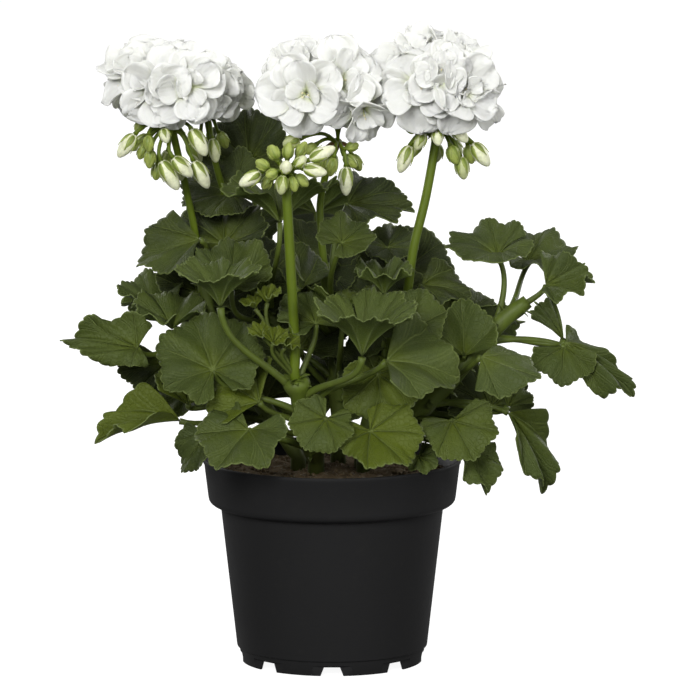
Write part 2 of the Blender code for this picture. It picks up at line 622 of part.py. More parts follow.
def make_flower_stalk(name, collection, helpers, material):
    """The stalk from the stem's tip, its hub, and the buds that hang from the hub."""
    stalk = FLOWER_STALKS[name]
    stem, _ = stem_line(stalk["stem"])
    heading = (stem[-1] - stem[-2]).normalized()
    start = stem[-1] + heading * GAP
    route = [start, start + heading * 0.004 * PLANT_SIZE, *map(plant_point, stalk["route"])]
    points = curve_through(route, 2)
    thick = stalk["radius"] * 0.001 * PLANT_SIZE
    radii = [thick * (1.0 - 0.12 * i / (len(points) - 1)) for i in range(len(points))]
    piece = tube("flower_stalk_" + name, points, radii, collection, material)
    hub = points[-1]
    parts = [ball("hub_" + name, hub, HUB_RADIUS, helpers)]
    for number, (base, tip, fat) in enumerate(BUDS[name], 1):
        start, stop = plant_point(base), plant_point(tip)
        hang = (stop - start).normalized()
        bend = start - hang * 0.3 * (start - hub).length
        line = [hub, bend, start, start.lerp(stop, 0.4), stop]
        fat *= 0.001 * PLANT_SIZE
        radii = [PEDICEL_RADIUS, PEDICEL_RADIUS, 1.5 * PEDICEL_RADIUS, fat, 0.15 * fat]
        parts.append(tube(f"bud_{name}_{number}", line, radii, helpers))
    smooth_shading(piece)
    return piece, parts


def make_floret(name, centre, facing, size, collection):
    """An open floret as one five-lobed cup."""
    outward = Vector(facing).normalized()
    turn = outward.to_track_quat("Z", "Y")
    radius = FLORET_RADIUS * size * PLANT_SIZE
    cup = bmesh.new()
    bmesh.ops.create_circle(cup, cap_ends=True, cap_tris=True, segments=8, radius=1.0)
    rim = [spot for spot in cup.verts if spot.co.length > 0.5]
    for number, spot in enumerate(rim):
        reach = radius * (1.0 if number % 2 else 0.85)
        spot.co = spot.co * reach + Vector((0.0, 0.0, 0.22 * radius))
    for spot in cup.verts:
        spot.co = centre + turn @ spot.co
    floret = from_bmesh(name, cup, collection)
    solid = floret.modifiers.new("thickness", "SOLIDIFY")
    solid.thickness = PETAL_THICKNESS
    solid.offset = 0.0
    return floret


def make_flower_head(name, collection, helpers, material):
    """The open florets and their pedicels, which all start from a small boss on top of the hub."""
    hub = plant_point(FLOWER_STALKS[name]["route"][-1])
    boss_radius = 0.8 * HUB_RADIUS
    boss = hub + Vector((0.0, 0.0, HUB_RADIUS + GAP + boss_radius))
    head = ball("flower_head_" + name, boss, boss_radius, collection, material)
    parts = []
    for number, (place, facing, size) in enumerate(FLOWER_HEADS[name], 1):
        centre = plant_point(place)
        outward = Vector(facing).normalized()
        length = (centre - boss).length
        up = Vector((0.0, 0.0, 1.0))
        line = [boss, boss + up * 0.35 * length + (centre - boss) * 0.2, centre - outward * 0.25 * length,
                centre]
        radii = [PEDICEL_RADIUS, PEDICEL_RADIUS, 1.5 * PEDICEL_RADIUS, PEDICEL_RADIUS]
        parts.append(tube(f"pedicel_{name}_{number}", line, radii, helpers, corners=4))
        parts.append(make_floret(f"floret_{name}_{number}", centre, facing, size, helpers))
    smooth_shading(head, 30)
    return head, parts


def main():
    clear_scene()
    plant = new_collection("potted_geranium")
    helpers = new_collection("cutters_and_guides")
    materials = make_materials()
    make_pot(plant, helpers, materials["black_pot"])
    make_soil(plant, materials["peat_soil"])
    grown = [make_stem(name, plant, helpers, materials["green_stem"]) for name in STEMS]
    grown += [make_flower_stalk(name, plant, helpers, materials["green_stem"]) for name in FLOWER_STALKS]
    grown += [make_flower_head(name, plant, helpers, materials["white_petal"]) for name in FLOWER_HEADS]
    for name, shape in LEAVES.items():
        make_blade(name, shape, plant, materials["green_leaf"])
    for piece, parts in grown:
        join_all(piece, parts, helpers)


main()
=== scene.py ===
import math
import random

import bmesh
import bpy
from mathutils import Matrix, Vector, noise


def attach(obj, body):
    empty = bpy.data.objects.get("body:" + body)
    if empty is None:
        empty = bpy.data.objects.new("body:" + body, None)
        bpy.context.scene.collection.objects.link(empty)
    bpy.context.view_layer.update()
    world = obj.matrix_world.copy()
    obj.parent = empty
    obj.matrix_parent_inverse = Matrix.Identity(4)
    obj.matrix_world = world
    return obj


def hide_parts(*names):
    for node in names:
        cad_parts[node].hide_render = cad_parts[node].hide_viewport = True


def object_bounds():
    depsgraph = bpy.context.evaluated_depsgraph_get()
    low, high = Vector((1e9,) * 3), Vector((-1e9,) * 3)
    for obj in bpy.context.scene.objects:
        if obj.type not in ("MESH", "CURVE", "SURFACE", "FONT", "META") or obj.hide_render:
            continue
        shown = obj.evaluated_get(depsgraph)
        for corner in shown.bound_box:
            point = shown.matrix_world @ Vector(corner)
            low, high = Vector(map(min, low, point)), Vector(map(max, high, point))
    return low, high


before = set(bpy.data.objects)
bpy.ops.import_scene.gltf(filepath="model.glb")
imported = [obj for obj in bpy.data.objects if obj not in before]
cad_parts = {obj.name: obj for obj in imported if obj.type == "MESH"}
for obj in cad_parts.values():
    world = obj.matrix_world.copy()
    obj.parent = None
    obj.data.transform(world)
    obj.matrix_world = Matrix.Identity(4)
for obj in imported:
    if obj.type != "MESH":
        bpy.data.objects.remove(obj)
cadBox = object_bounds()
scene = bpy.context.scene
mm = 0.001
up = Vector((0, 0, 1))
soilHeight = 0.098  # middle of the soil, where the plant's own measures start
plantLift = Vector((0, 0, soilHeight + 0.0003))

# helpers for node materials


def newMaterial(name):
    material = bpy.data.materials.new(name)
    material.use_nodes = True
    tree = material.node_tree
    return material, tree, tree.nodes["Principled BSDF"]


def linked(tree, value, socket):
    if isinstance(value, bpy.types.NodeSocket):
        tree.links.new(value, socket)
    elif value is not None:
        socket.default_value = value


def calc(tree, operation, *values, clamp=False):
    node = tree.nodes.new("ShaderNodeMath")
    node.operation = operation
    node.use_clamp = clamp
    for socket, value in zip(node.inputs, values):
        linked(tree, value, socket)
    return node.outputs[0]


def blend(tree, share, first, second):
    node = tree.nodes.new("ShaderNodeMix")
    node.data_type = "RGBA"
    linked(tree, share, node.inputs[0])
    for value, socket in ((first, node.inputs[6]), (second, node.inputs[7])):
        linked(tree, (*value, 1) if isinstance(value, tuple) else value, socket)
    return node.outputs[2]


def noiseMap(tree, scale, detail=3.0, roughness=0.5, stretch=(1, 1, 1)):
    place = tree.nodes.new("ShaderNodeTexCoord")
    mapping = tree.nodes.new("ShaderNodeMapping")
    mapping.inputs["Scale"].default_value = stretch
    tree.links.new(place.outputs["Object"], mapping.inputs["Vector"])
    node = tree.nodes.new("ShaderNodeTexNoise")
    node.inputs["Scale"].default_value = scale
    node.inputs["Detail"].default_value = detail
    node.inputs["Roughness"].default_value = roughness
    tree.links.new(mapping.outputs["Vector"], node.inputs["Vector"])
    return node.outputs["Fac"]


def cellMap(tree, scale):
    place = tree.nodes.new("ShaderNodeTexCoord")
    node = tree.nodes.new("ShaderNodeTexVoronoi")
    node.feature = "DISTANCE_TO_EDGE"
    node.inputs["Scale"].default_value = scale
    tree.links.new(place.outputs["Object"], node.inputs["Vector"])
    return node.outputs["Distance"]


def fit(tree, value, low, high, newLow=0.0, newHigh=1.0):
    node = tree.nodes.new("ShaderNodeMapRange")
    node.interpolation_type = "SMOOTHSTEP"
    linked(tree, value, node.inputs["Value"])
    for socket, number in zip(list(node.inputs)[1:5], (low, high, newLow, newHigh)):
        socket.default_value = number
    return node.outputs["Result"]


def attribute(tree, name):
    node = tree.nodes.new("ShaderNodeAttribute")
    node.attribute_name = name
    return node.outputs["Fac"]


def ownMap(tree, name):
    node = tree.nodes.new("ShaderNodeUVMap")
    node.uv_map = name
    split = tree.nodes.new("ShaderNodeSeparateXYZ")
    tree.links.new(node.outputs["UV"], split.inputs["Vector"])
    return split.outputs["X"], split.outputs["Y"]


def raised(tree, shader, height, distance, strength=1.0):
    bump = tree.nodes.new("ShaderNodeBump")
    bump.inputs["Strength"].default_value = strength
    bump.inputs["Distance"].default_value = distance
    tree.links.new(height, bump.inputs["Height"])
    tree.links.new(bump.outputs["Normal"], shader.inputs["Normal"])


def setSurface(tree, shader, base, values):
    # the colour, then what is the same all over the surface
    tree.links.new(base, shader.inputs["Base Color"])
    for name, value in values.items():
        shader.inputs[name].default_value = value


# materials

leafLook = {
    "top": {"dark": (0.014, 0.020, 0.006), "middle": (0.047, 0.066, 0.013), "yellow": (0.082, 0.108, 0.004),
            "vein": (0.130, 0.165, 0.045)},
    "under": {"dark": (0.030, 0.042, 0.010), "middle": (0.064, 0.092, 0.018), "yellow": (0.105, 0.140, 0.010),
              "vein": (0.150, 0.190, 0.060)},
    "lobeWidth": 24.0, "lobeAngle": 44, "veinShare": 0.75, "roughness": 0.58, "thickness": 0.45, "rings": 14,
    "sideVeins": ((0.10, 0.40, 0.34), (0.30, 0.44, 0.3), (0.52, 0.50, 0.26), (0.72, 0.60, 0.2)),
}


def veinLines(tree):
    # how strongly the main vein of each lobe shows, with the side veins that leave it
    across, share = ownMap(tree, "blade")
    wobble = calc(tree, "MULTIPLY", calc(tree, "SUBTRACT", noiseMap(tree, 70, 2), 0.5), 0.22)
    lobe = calc(tree, "MULTIPLY_ADD", across, 10.0, -5.0)
    lobe = calc(tree, "ADD", lobe, calc(tree, "MULTIPLY", wobble, share))
    aside = calc(tree, "SUBTRACT", lobe, calc(tree, "ROUND", lobe))
    away = calc(tree, "ABSOLUTE", aside)
    width = calc(tree, "MULTIPLY", share, leafLook["lobeWidth"])
    distance = calc(tree, "MULTIPLY", away, width)
    thin = calc(tree, "MULTIPLY_ADD", share, -0.45, 0.75)
    lines = calc(tree, "SUBTRACT", 1.0, calc(tree, "DIVIDE", distance, thin), clamp=True)
    for start, slope, weight in leafLook["sideVeins"]:
        begin = calc(tree, "MULTIPLY_ADD", calc(tree, "SIGN", aside), 0.04, start)
        along = calc(tree, "SUBTRACT", share, begin)
        side = calc(tree, "MULTIPLY", along, slope)
        gap = calc(tree, "ABSOLUTE", calc(tree, "SUBTRACT", away, side))
        near = calc(tree, "DIVIDE", calc(tree, "MULTIPLY", gap, width), 0.42)
        branch = calc(tree, "MULTIPLY", calc(tree, "SUBTRACT", 1.0, near, clamp=True), weight)
        branch = calc(tree, "MULTIPLY", branch, calc(tree, "GREATER_THAN", along, 0.0))
        lines = calc(tree, "MAXIMUM", lines, branch)
    return lines, share


def leafMaterial(name, side):
    material, tree, shader = newMaterial(name)
    tints = leafLook[side]
    way = 1.0 if side == "under" else -1.0  # the veins stand out below and sink in above
    lines, share = veinLines(tree)
    patches = noiseMap(tree, 45, 4, 0.6)
    tone = attribute(tree, "tone")
    # the tone runs from dark through middle to yellow green; the lowest tones, given to the leaves inside the
    # plant, are partly painted shade on top of the leaves' own colour
    base = blend(tree, fit(tree, tone, 0.0, 0.45), tints["dark"], tints["middle"])
    base = blend(tree, fit(tree, tone, 0.45, 1.0), base, tints["yellow"])
    base = blend(tree, fit(tree, patches, 0.35, 0.7, 0.0, 0.25), base, tints["yellow"])
    heart = fit(tree, share, 0.45, 0.0, 0.0, 0.55)
    base = blend(tree, heart, base, tints["yellow"])
    mesh = fit(tree, cellMap(tree, 420), 0.0, 0.10, 1.0, 0.0)
    base = blend(tree, calc(tree, "MULTIPLY", mesh, 0.10), base, tints["vein"])
    base = blend(tree, calc(tree, "MULTIPLY", lines, leafLook["veinShare"]), base, tints["vein"])
    edge = fit(tree, share, 0.965, 0.99, 0.0, 0.75)
    base = blend(tree, edge, base, tints["vein"])
    setSurface(tree, shader, base, {"Specular IOR Level": 0.22})
    down = noiseMap(tree, 2600, 2)
    roughness = calc(tree, "MULTIPLY_ADD", down, 0.25, leafLook["roughness"] - 0.12)
    tree.links.new(roughness, shader.inputs["Roughness"])
    relief = calc(tree, "MULTIPLY", lines, way)
    relief = calc(tree, "MULTIPLY_ADD", mesh, 0.35 * way, relief)
    relief = calc(tree, "MULTIPLY_ADD", down, 0.25, relief)
    raised(tree, shader, relief, 0.0005)
    return material


leafTop = leafMaterial("downyLeafTop", "top")
leafUnder = leafMaterial("paleLeafUnderside", "under")


stemTints = {  # young and old
    "stem": ((0.085, 0.120, 0.014), (0.045, 0.056, 0.012)),
    "stalk": ((0.100, 0.145, 0.006), (0.060, 0.088, 0.007)),
    "bract": ((0.150, 0.070, 0.025), (0.090, 0.085, 0.020)),
}


def stemMaterial(name, young, old):
    material, tree, shader = newMaterial(name)
    tone = attribute(tree, "tone")
    streaks = noiseMap(tree, 160, 4, 0.6, (1, 1, 0.25))
    base = blend(tree, tone, young, old)
    base = blend(tree, fit(tree, streaks, 0.35, 0.7, 0.0, 0.5), base, old)
    setSurface(tree, shader, base, {"Roughness": 0.5, "Specular IOR Level": 0.25})
    fuzz = calc(tree, "MULTIPLY_ADD", noiseMap(tree, 2400, 2), 0.5, streaks)
    raised(tree, shader, fuzz, 0.0003, 0.7)
    return material


stemGreen = stemMaterial("softGreenStem", *stemTints["stem"])
stalkGreen = stemMaterial("yellowGreenFlowerStalk", *stemTints["stalk"])
bractRed = stemMaterial("rustyBract", *stemTints["bract"])

budTints = {
    "green": (0.110, 0.165, 0.010), "light": (0.330, 0.390, 0.085), "pale": (0.780, 0.800, 0.560),
    "grain": (0.140, 0.180, 0.030),
}


def budMaterial():
    material, tree, shader = newMaterial("greenBudWithPaleTip")
    tip = attribute(tree, "tip")
    grain = noiseMap(tree, 500, 3)
    base = blend(tree, fit(tree, tip, 0.05, 0.38), budTints["green"], budTints["light"])
    base = blend(tree, fit(tree, tip, 0.5, 0.95), base, budTints["pale"])
    base = blend(tree, fit(tree, grain, 0.3, 0.7, 0.0, 0.25), base, budTints["grain"])
    setSurface(tree, shader, base, {"Roughness": 0.5, "Subsurface Weight": 0.08, "Subsurface Scale": 0.5,
                                    "Subsurface Radius": (0.001, 0.0012, 0.0004)})
    raised(tree, shader, noiseMap(tree, 1800, 2), 0.0002, 0.6)
    return material


petalTints = {
    "white": (0.760, 0.765, 0.722), "throat": (0.600, 0.660, 0.320), "vein": (0.690, 0.720, 0.560),
    "patch": (0.710, 0.725, 0.665), "stamen": (0.60, 0.64, 0.30), "anther": (0.74, 0.66, 0.42),
}


def petalMaterial():
    material, tree, shader = newMaterial("softWhitePetal")
    across, along = ownMap(tree, "petal")
    fan = calc(tree, "MULTIPLY", calc(tree, "SUBTRACT", across, 0.5), 46.0)
    wander = calc(tree, "MULTIPLY", noiseMap(tree, 260, 2), 5.0)
    streak = calc(tree, "SINE", calc(tree, "ADD", fan, wander))
    throat = fit(tree, along, 0.34, 0.02)
    base = blend(tree, throat, petalTints["white"], petalTints["throat"])
    faint = calc(tree, "MULTIPLY", fit(tree, streak, 0.55, 1.0), fit(tree, along, 0.9, 0.2, 0.0, 0.12))
    base = blend(tree, faint, base, petalTints["vein"])
    patches = fit(tree, noiseMap(tree, 90, 3), 0.35, 0.75, 0.0, 0.22)
    base = blend(tree, patches, base, petalTints["patch"])
    setSurface(tree, shader, base, {"Roughness": 0.55, "Specular IOR Level": 0.3, "Sheen Weight": 0.15,
                                    "Subsurface Weight": 0.45, "Subsurface Scale": 0.5,
                                    "Subsurface Radius": (0.004, 0.004, 0.0035)})
    relief = calc(tree, "MULTIPLY_ADD", streak, 0.35, noiseMap(tree, 900, 2))
    raised(tree, shader, relief, 0.00025, 0.5)
    return material


def stamenMaterial():
    material, tree, shader = newMaterial("paleYellowStamen")
    base = blend(tree, attribute(tree, "tip"), petalTints["stamen"], petalTints["anther"])
    setSurface(tree, shader, base, {"Roughness": 0.6})
    return material


potTints = {"black": (0.0140, 0.0140, 0.0143), "dust": (0.020, 0.0195, 0.0185)}


def potMaterial():
    material, tree, shader = newMaterial("satinBlackPlastic")
    smudge = noiseMap(tree, 30, 5, 0.65)
    dust = fit(tree, noiseMap(tree, 140, 4, 0.7), 0.55, 0.8, 0.0, 0.35)
    base = blend(tree, dust, potTints["black"], potTints["dust"])
    setSurface(tree, shader, base, {"Specular IOR Level": 0.09})
    tree.links.new(fit(tree, smudge, 0.2, 0.8, 0.42, 0.62), shader.inputs["Roughness"])
    grain = calc(tree, "MULTIPLY_ADD", noiseMap(tree, 1500, 2), 0.4, noiseMap(tree, 110, 2))
    raised(tree, shader, grain, 0.00025, 0.35)
    return material


soilTints = {
    "dark": (0.010, 0.006, 0.003), "clump": (0.090, 0.064, 0.036), "crumb": (0.150, 0.108, 0.058),
    "grit": (0.560, 0.520, 0.440),
}


def soilMaterial():
    material, tree, shader = newMaterial("darkBrownPeat")
    tint = attribute(tree, "tint")
    clump = noiseMap(tree, 260, 5, 0.7)
    base = blend(tree, fit(tree, clump, 0.35, 0.7), soilTints["dark"], soilTints["clump"])
    base = blend(tree, fit(tree, tint, 0.0, 0.6, 0.0, 0.8), base, soilTints["crumb"])
    base = blend(tree, fit(tree, tint, 0.7, 1.0), base, soilTints["grit"])
    setSurface(tree, shader, base, {"Roughness": 0.95, "Specular IOR Level": 0.15})
    raised(tree, shader, calc(tree, "ADD", clump, noiseMap(tree, 1400, 3)), 0.0012, 0.9)
    return material


budGreen = budMaterial()
petalWhite = petalMaterial()
stamenTint = stamenMaterial()
potBlack = potMaterial()
peat = soilMaterial()
print("materials made")

# making pieces


def addPiece(name, shape, slotName, materials, nodes=()):
    mesh = bpy.data.meshes.new(name)
    shape.to_mesh(mesh)
    shape.free()
    for material in materials:
        mesh.materials.append(material)
    mesh.shade_smooth()
    piece = bpy.data.objects.new(name, mesh)
    scene.collection.objects.link(piece)
    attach(piece, "root")
    if nodes:
        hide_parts(*nodes)
    return piece


def solidified(piece, thickness, offset=-1.0, underSlot=0):
    thick = piece.modifiers.new("thickness", "SOLIDIFY")
    thick.thickness = thickness
    thick.offset = offset
    thick.material_offset = underSlot
    thick.material_offset_rim = underSlot
    return piece


def vertLayer(shape, name):
    return shape.verts.layers.float.get(name) or shape.verts.layers.float.new(name)


def turns(count, begin=0.0):
    return [begin + 2 * math.pi * number / count for number in range(count)]


def spoke(turn, rise=0.0):
    return Vector((math.cos(turn), math.sin(turn), rise))


def plantPoint(place):
    return Vector(place) * mm + plantLift


def smoothCurve(points, spans):
    ends = [points[0] * 2 - points[1], *points, points[-1] * 2 - points[-2]]
    line = []
    for i in range(1, len(ends) - 2):
        before, start, stop, after = ends[i - 1:i + 3]
        for step in range(spans):
            t = step / spans
            line.append(0.5 * (2 * start + (stop - before) * t
                               + (2 * before - 5 * start + 4 * stop - after) * t**2
                               + (3 * start - before - 3 * stop + after) * t**3))
    return [*line, points[-1]]


def bezier(start, first, second, stop, steps):
    line = []
    for step in range(steps + 1):
        t = step / steps
        left = 1 - t
        line.append(start * left**3 + first * 3 * t * left**2 + second * 3 * t**2 * left + stop * t**3)
    return line


def addTube(shape, points, radii, sides=10, tones=None):
    # a round closed tube, grown ring by ring along the points
    tone = vertLayer(shape, "tone")
    heading = (points[1] - points[0]).normalized()
    place = Matrix.Translation(points[0]) @ heading.to_track_quat("Z", "Y").to_matrix().to_4x4()
    ring = bmesh.ops.create_circle(shape, cap_ends=True, segments=sides, radius=radii[0],
                                   matrix=place)["verts"]
    tones = tones or [0.0] * len(points)
    for spot in ring:
        spot[tone] = tones[0]
    rim = list(dict.fromkeys(edge for spot in ring for edge in spot.link_edges))
    for i in range(1, len(points)):
        grown = bmesh.ops.extrude_edge_only(shape, edges=rim)["geom"]
        ring = {part for part in grown if isinstance(part, bmesh.types.BMVert)}
        rim = [part for part in grown
               if isinstance(part, bmesh.types.BMEdge) and set(part.verts) <= ring]
        after = points[min(i + 1, len(points) - 1)] - points[i - 1]
        after = after.normalized() if after.length > 0 else heading
        turn = heading.rotation_difference(after)
        for spot in ring:
            spot.co = points[i] + turn @ (spot.co - points[i - 1]) * (radii[i] / radii[i - 1])
            spot[tone] = tones[i]
        heading = after
    bmesh.ops.contextual_create(shape, geom=rim)


def pointAlong(points, share):
    spans = [(second - first).length for first, second in zip(points, points[1:])]
    left = share * sum(spans)
    for first, second, span in zip(points, points[1:], spans):
        if left <= span or second is points[-1]:
            return first.lerp(second, min(left / span, 1.0)), (second - first).normalized()
        left -= span


def addBract(shape, base, heading, lift, length, width, steps=5):
    # a small pointed leaf, such as a stipule, bract or sepal, that curls away from lift
    tone = vertLayer(shape, "tone")
    side = heading.cross(lift).normalized()
    sheet = bmesh.ops.create_grid(shape, x_segments=4, y_segments=steps, size=1.0)["verts"]
    for spot in sheet:
        across, along = spot.co.x, (spot.co.y + 1) / 2
        half = width * 0.5 * (0.55 + 0.45 * math.sin(math.pi * along)) * (1 - along**2.2)
        rise = length * (0.25 * along - 0.35 * along**2) + half * 0.35 * across**2
        spot.co = base + heading * (along * length) + side * (across * max(half, 0.00008)) + lift * rise
        spot[tone] = 0.3 * along
    faces = list(dict.fromkeys(face for spot in sheet for face in spot.link_faces))
    bmesh.ops.solidify(shape, geom=faces, thickness=0.3 * mm)


# pot: rim, collar, shoulder, tapered wall and notched foot

pot = {
    "height": 103.4, "rimRadius": 65.0, "collarHeight": 20.1, "collarTaper": 2.8, "shoulderHeight": 3.8,
    "shoulderStep": 6.1, "baseRadius": 47.9, "footHeight": 7.6, "footStep": 1.2, "footTaper": 1.3,
    "wall": 1.2, "floor": 5.0, "seatRadius": 13.0, "notches": 8, "notchWidth": 15.0, "notchTopWidth": 8.0,
    "notchHeight": 4.4, "notchDepth": 9.6, "recessWidth": 21.0, "recessHeight": 5.2, "recessDepth": 0.45,
    "steps": 144, "sharpAngle": 32,
}


def potProfile():
    rim, top, base, wall = pot["rimRadius"], pot["height"], pot["baseRadius"], pot["wall"]
    footTop, seat, under = pot["footHeight"], pot["seatRadius"], pot["floor"]
    low = under + wall
    collarFoot = rim - pot["collarTaper"]
    wallTop = collarFoot - pot["shoulderStep"]
    collarLow = top - pot["collarHeight"]
    shoulderLow = collarLow - pot["shoulderHeight"]
    foot = base - pot["footStep"]
    toe = foot - pot["footTaper"]
    shoulder = [(collarFoot - pot["shoulderStep"] * (1 - math.cos(turn)) * 0.98,
                 collarLow - pot["shoulderHeight"] * math.sin(turn))
                for turn in (math.radians(15 * i) for i in range(1, 7))]
    outside = [
        (rim - 0.55, top), (rim - 0.1, top - 0.3), (rim, top - 0.9), (rim - 0.15, top - 2.2),
        (rim - 0.65, top - 2.9), (collarFoot + 0.15, collarLow + 0.9), (collarFoot + 0.05, collarLow + 0.25),
        *shoulder, (wallTop - 0.1, shoulderLow - 1.0), (base + 0.1, footTop + 0.8),
        (base - 0.1, footTop + 0.2), (foot + 0.2, footTop - 0.4), (foot, footTop - 1.0), (toe + 0.15, 0.3),
        (toe - 0.1, 0.0),
    ]
    inside = [(toe - wall, 0.0), (toe - wall, under), (seat + 3, under), (seat, 0.0), (0.0, 0.0)]
    hollow = [
        (0.0, wall), (seat - 0.6, wall), (seat + 2.4, low), (foot - wall, low), (base - wall, footTop + 0.5),
        (wallTop - wall, shoulderLow), (wallTop + 2.0 - wall, collarLow - 2.2),
        (collarFoot - wall - 0.4, collarLow + 0.4), (rim - 2.0, top - 1.0), (rim - 1.5, top - 0.2),
        (rim - 1.1, top),
    ]
    return hollow + outside + inside


def cutBoxes(width, topWidth, height, depth, radius):
    # one box per notch, set round the foot with the first at the front
    boxes = bmesh.new()
    for turn in turns(pot["notches"], -math.pi / 2):
        for corner in bmesh.ops.create_cube(boxes, size=1.0)["verts"]:
            top = corner.co.z > 0
            across = corner.co.y * (topWidth if top else width)
            out = radius + corner.co.x * depth
            corner.co = Vector((out * math.cos(turn) - across * math.sin(turn),
                                out * math.sin(turn) + across * math.cos(turn),
                                height if top else -height)) * mm
    mesh = bpy.data.meshes.new("footCutter")
    boxes.to_mesh(mesh)
    boxes.free()
    return bpy.data.objects.new("footCutter", mesh)


def makePot():
    shape = bmesh.new()
    corners = [shape.verts.new((radius * mm, 0, height * mm)) for radius, height in potProfile()]
    line = [shape.edges.new(pair) for pair in zip(corners, corners[1:])]
    bmesh.ops.spin(shape, geom=corners + line, cent=(0, 0, 0), axis=(0, 0, 1), angle=2 * math.pi,
                   steps=pot["steps"], use_merge=True)
    bmesh.ops.remove_doubles(shape, verts=shape.verts, dist=1e-6)
    bmesh.ops.recalc_face_normals(shape, faces=shape.faces)
    foot = pot["baseRadius"] - pot["footStep"] - pot["footTaper"]
    cutters = [
        cutBoxes(pot["recessWidth"], pot["recessWidth"] - 1.5, pot["recessHeight"],
                 2 * (pot["recessDepth"] + 2), foot + 2.0),
        cutBoxes(pot["notchWidth"], pot["notchTopWidth"], pot["notchHeight"], pot["notchDepth"], foot),
    ]
    piece = addPiece("potBody", shape, "pot", [potBlack], ["pot"])
    for cutter in cutters:
        scene.collection.objects.link(cutter)
        cut = piece.modifiers.new("cut", "BOOLEAN")
        cut.operation = "DIFFERENCE"
        cut.solver = "EXACT"
        cut.object = cutter
    bpy.context.view_layer.update()
    done = bpy.data.meshes.new_from_object(piece.evaluated_get(bpy.context.evaluated_depsgraph_get()))
    piece.modifiers.clear()
    piece.data = done
    done.set_sharp_from_angle(angle=math.radians(pot["sharpAngle"]))
    for cutter in cutters:
        bpy.data.objects.remove(cutter)


makePot()
print("pot made")

# soil: a low mound of peat with crumbs and fibres

soil = {
    "radius": 62.0, "low": 85.0, "lowRadius": 60.0, "mound": 3.0, "roughness": 1.7, "steps": (110, 34),
    "crumbs": 520, "crumbSize": (0.5, 1.7), "fibres": 70, "fibreLength": (2, 5), "tint": (0.4, 0.85),
}


def soilSpot(dice, share):
    away, turn = soil["radius"] * share * math.sqrt(dice.random()) * mm, dice.uniform(0, 2 * math.pi)
    return away * math.cos(turn), away * math.sin(turn)


def soilLevel(x, y):
    away = min(math.hypot(x, y) / (soil["radius"] * mm), 1.0)
    mound = -soil["mound"] * away**3
    bumps = noise.fractal(Vector((x, y, 0)) * 120, 0.8, 2.2, 4) * soil["roughness"] * (1 - 0.6 * away**6)
    return soilHeight + (mound + bumps - 0.6) * mm


def makeSoil():
    shape = bmesh.new()
    tint = vertLayer(shape, "tint")
    around, out = soil["steps"]
    disc = bmesh.ops.create_grid(shape, x_segments=around, y_segments=out, size=1.0)["verts"]
    for spot in disc:
        turn, away = (spot.co.x + 1) * math.pi, (spot.co.y + 1) / 2
        x, y = away * soil["radius"] * mm * math.cos(turn), away * soil["radius"] * mm * math.sin(turn)
        spot.co = (x, y, soilLevel(x, y))
    bmesh.ops.remove_doubles(shape, verts=shape.verts, dist=1e-5)
    rim = [edge for edge in shape.edges if edge.is_boundary]
    grown = bmesh.ops.extrude_edge_only(shape, edges=rim)["geom"]
    ring = {part for part in grown if isinstance(part, bmesh.types.BMVert)}
    for spot in ring:
        flat = Vector((spot.co.x, spot.co.y)).normalized() * soil["lowRadius"] * mm
        spot.co = (flat.x, flat.y, soil["low"] * mm)
    low = [part for part in grown if isinstance(part, bmesh.types.BMEdge) and set(part.verts) <= ring]
    bmesh.ops.contextual_create(shape, geom=low)
    dice = random.Random(4)
    for _ in range(soil["crumbs"]):
        x, y = soilSpot(dice, 0.95)
        size = dice.uniform(*soil["crumbSize"]) * mm
        turn = Matrix.Rotation(dice.uniform(0, 6), 3, Vector((dice.random(), dice.random(), 1)))
        place = Matrix.LocRotScale(Vector((x, y, soilLevel(x, y) + size * 0.25)), turn,
                                   Vector((size, size * dice.uniform(0.6, 1), size * dice.uniform(0.4, 0.8))))
        bmesh.ops.create_icosphere(shape, subdivisions=1, radius=1.0, matrix=place)
        if dice.random() >= 0.10:
            dice.random()  # spare draws, which keep the later ones in step
    tinted = set()  # first the mound, its crumbs and one fibre, then each later fibre
    for _ in range(soil["fibres"]):
        x, y = soilSpot(dice, 0.9)
        lie = dice.uniform(0, math.pi)
        long = dice.uniform(*soil["fibreLength"]) * mm
        line = [Vector((x + math.cos(lie) * s * long, y + math.sin(lie) * s * long,
                        soilLevel(x, y) + (0.8 - 0.5 * s * s) * mm)) for s in (-1, -0.3, 0.4, 1)]
        addTube(shape, line, [0.2 * mm] * 4, 4)
        for spot in [spot for spot in shape.verts if spot not in tinted]:
            spot[tint] = dice.uniform(*soil["tint"])
            tinted.add(spot)
    bmesh.ops.recalc_face_normals(shape, faces=shape.faces)
    addPiece("peatSoil", shape, "soil", [peat], ["soil"])


makeSoil()
print("soil made")

# stems and leaves, in millimetres from the middle of the soil

stems = {
    "front": ([(-8, -14, 5), (-11, -29, 24), (-16, -40, 42), (-18, -43, 52)], 4.2, 3.2),
    "right": ([(16, -5, 5), (32, -7, 20), (54, -10, 40), (82, -6, 72), (98, -5, 85)], 4.0, 3.5),
    "left": ([(-17, 1, 5), (-32, 1, 27), (-48, 2, 50), (-60, 5, 74), (-66, 6, 98)], 4.0, 2.4),
    "centre": ([(15, 9, 5), (23, 8, 34), (33, 4, 62), (37, 2, 82)], 4.0, 2.8),
    "back": ([(3, 17, 5), (3, 20, 34), (0, 17, 68), (-4, 10, 102)], 4.0, 2.6),
    "back_left": ([(-10, 16, 5), (-20, 23, 44), (-33, 24, 79), (-45, 20, 112)], 3.6, 2.2),
}
stalkLook = {"radius": 1.4, "steps": 14, "sides": 10, "stipuleLength": 7.0, "stipuleWidth": 4.5}


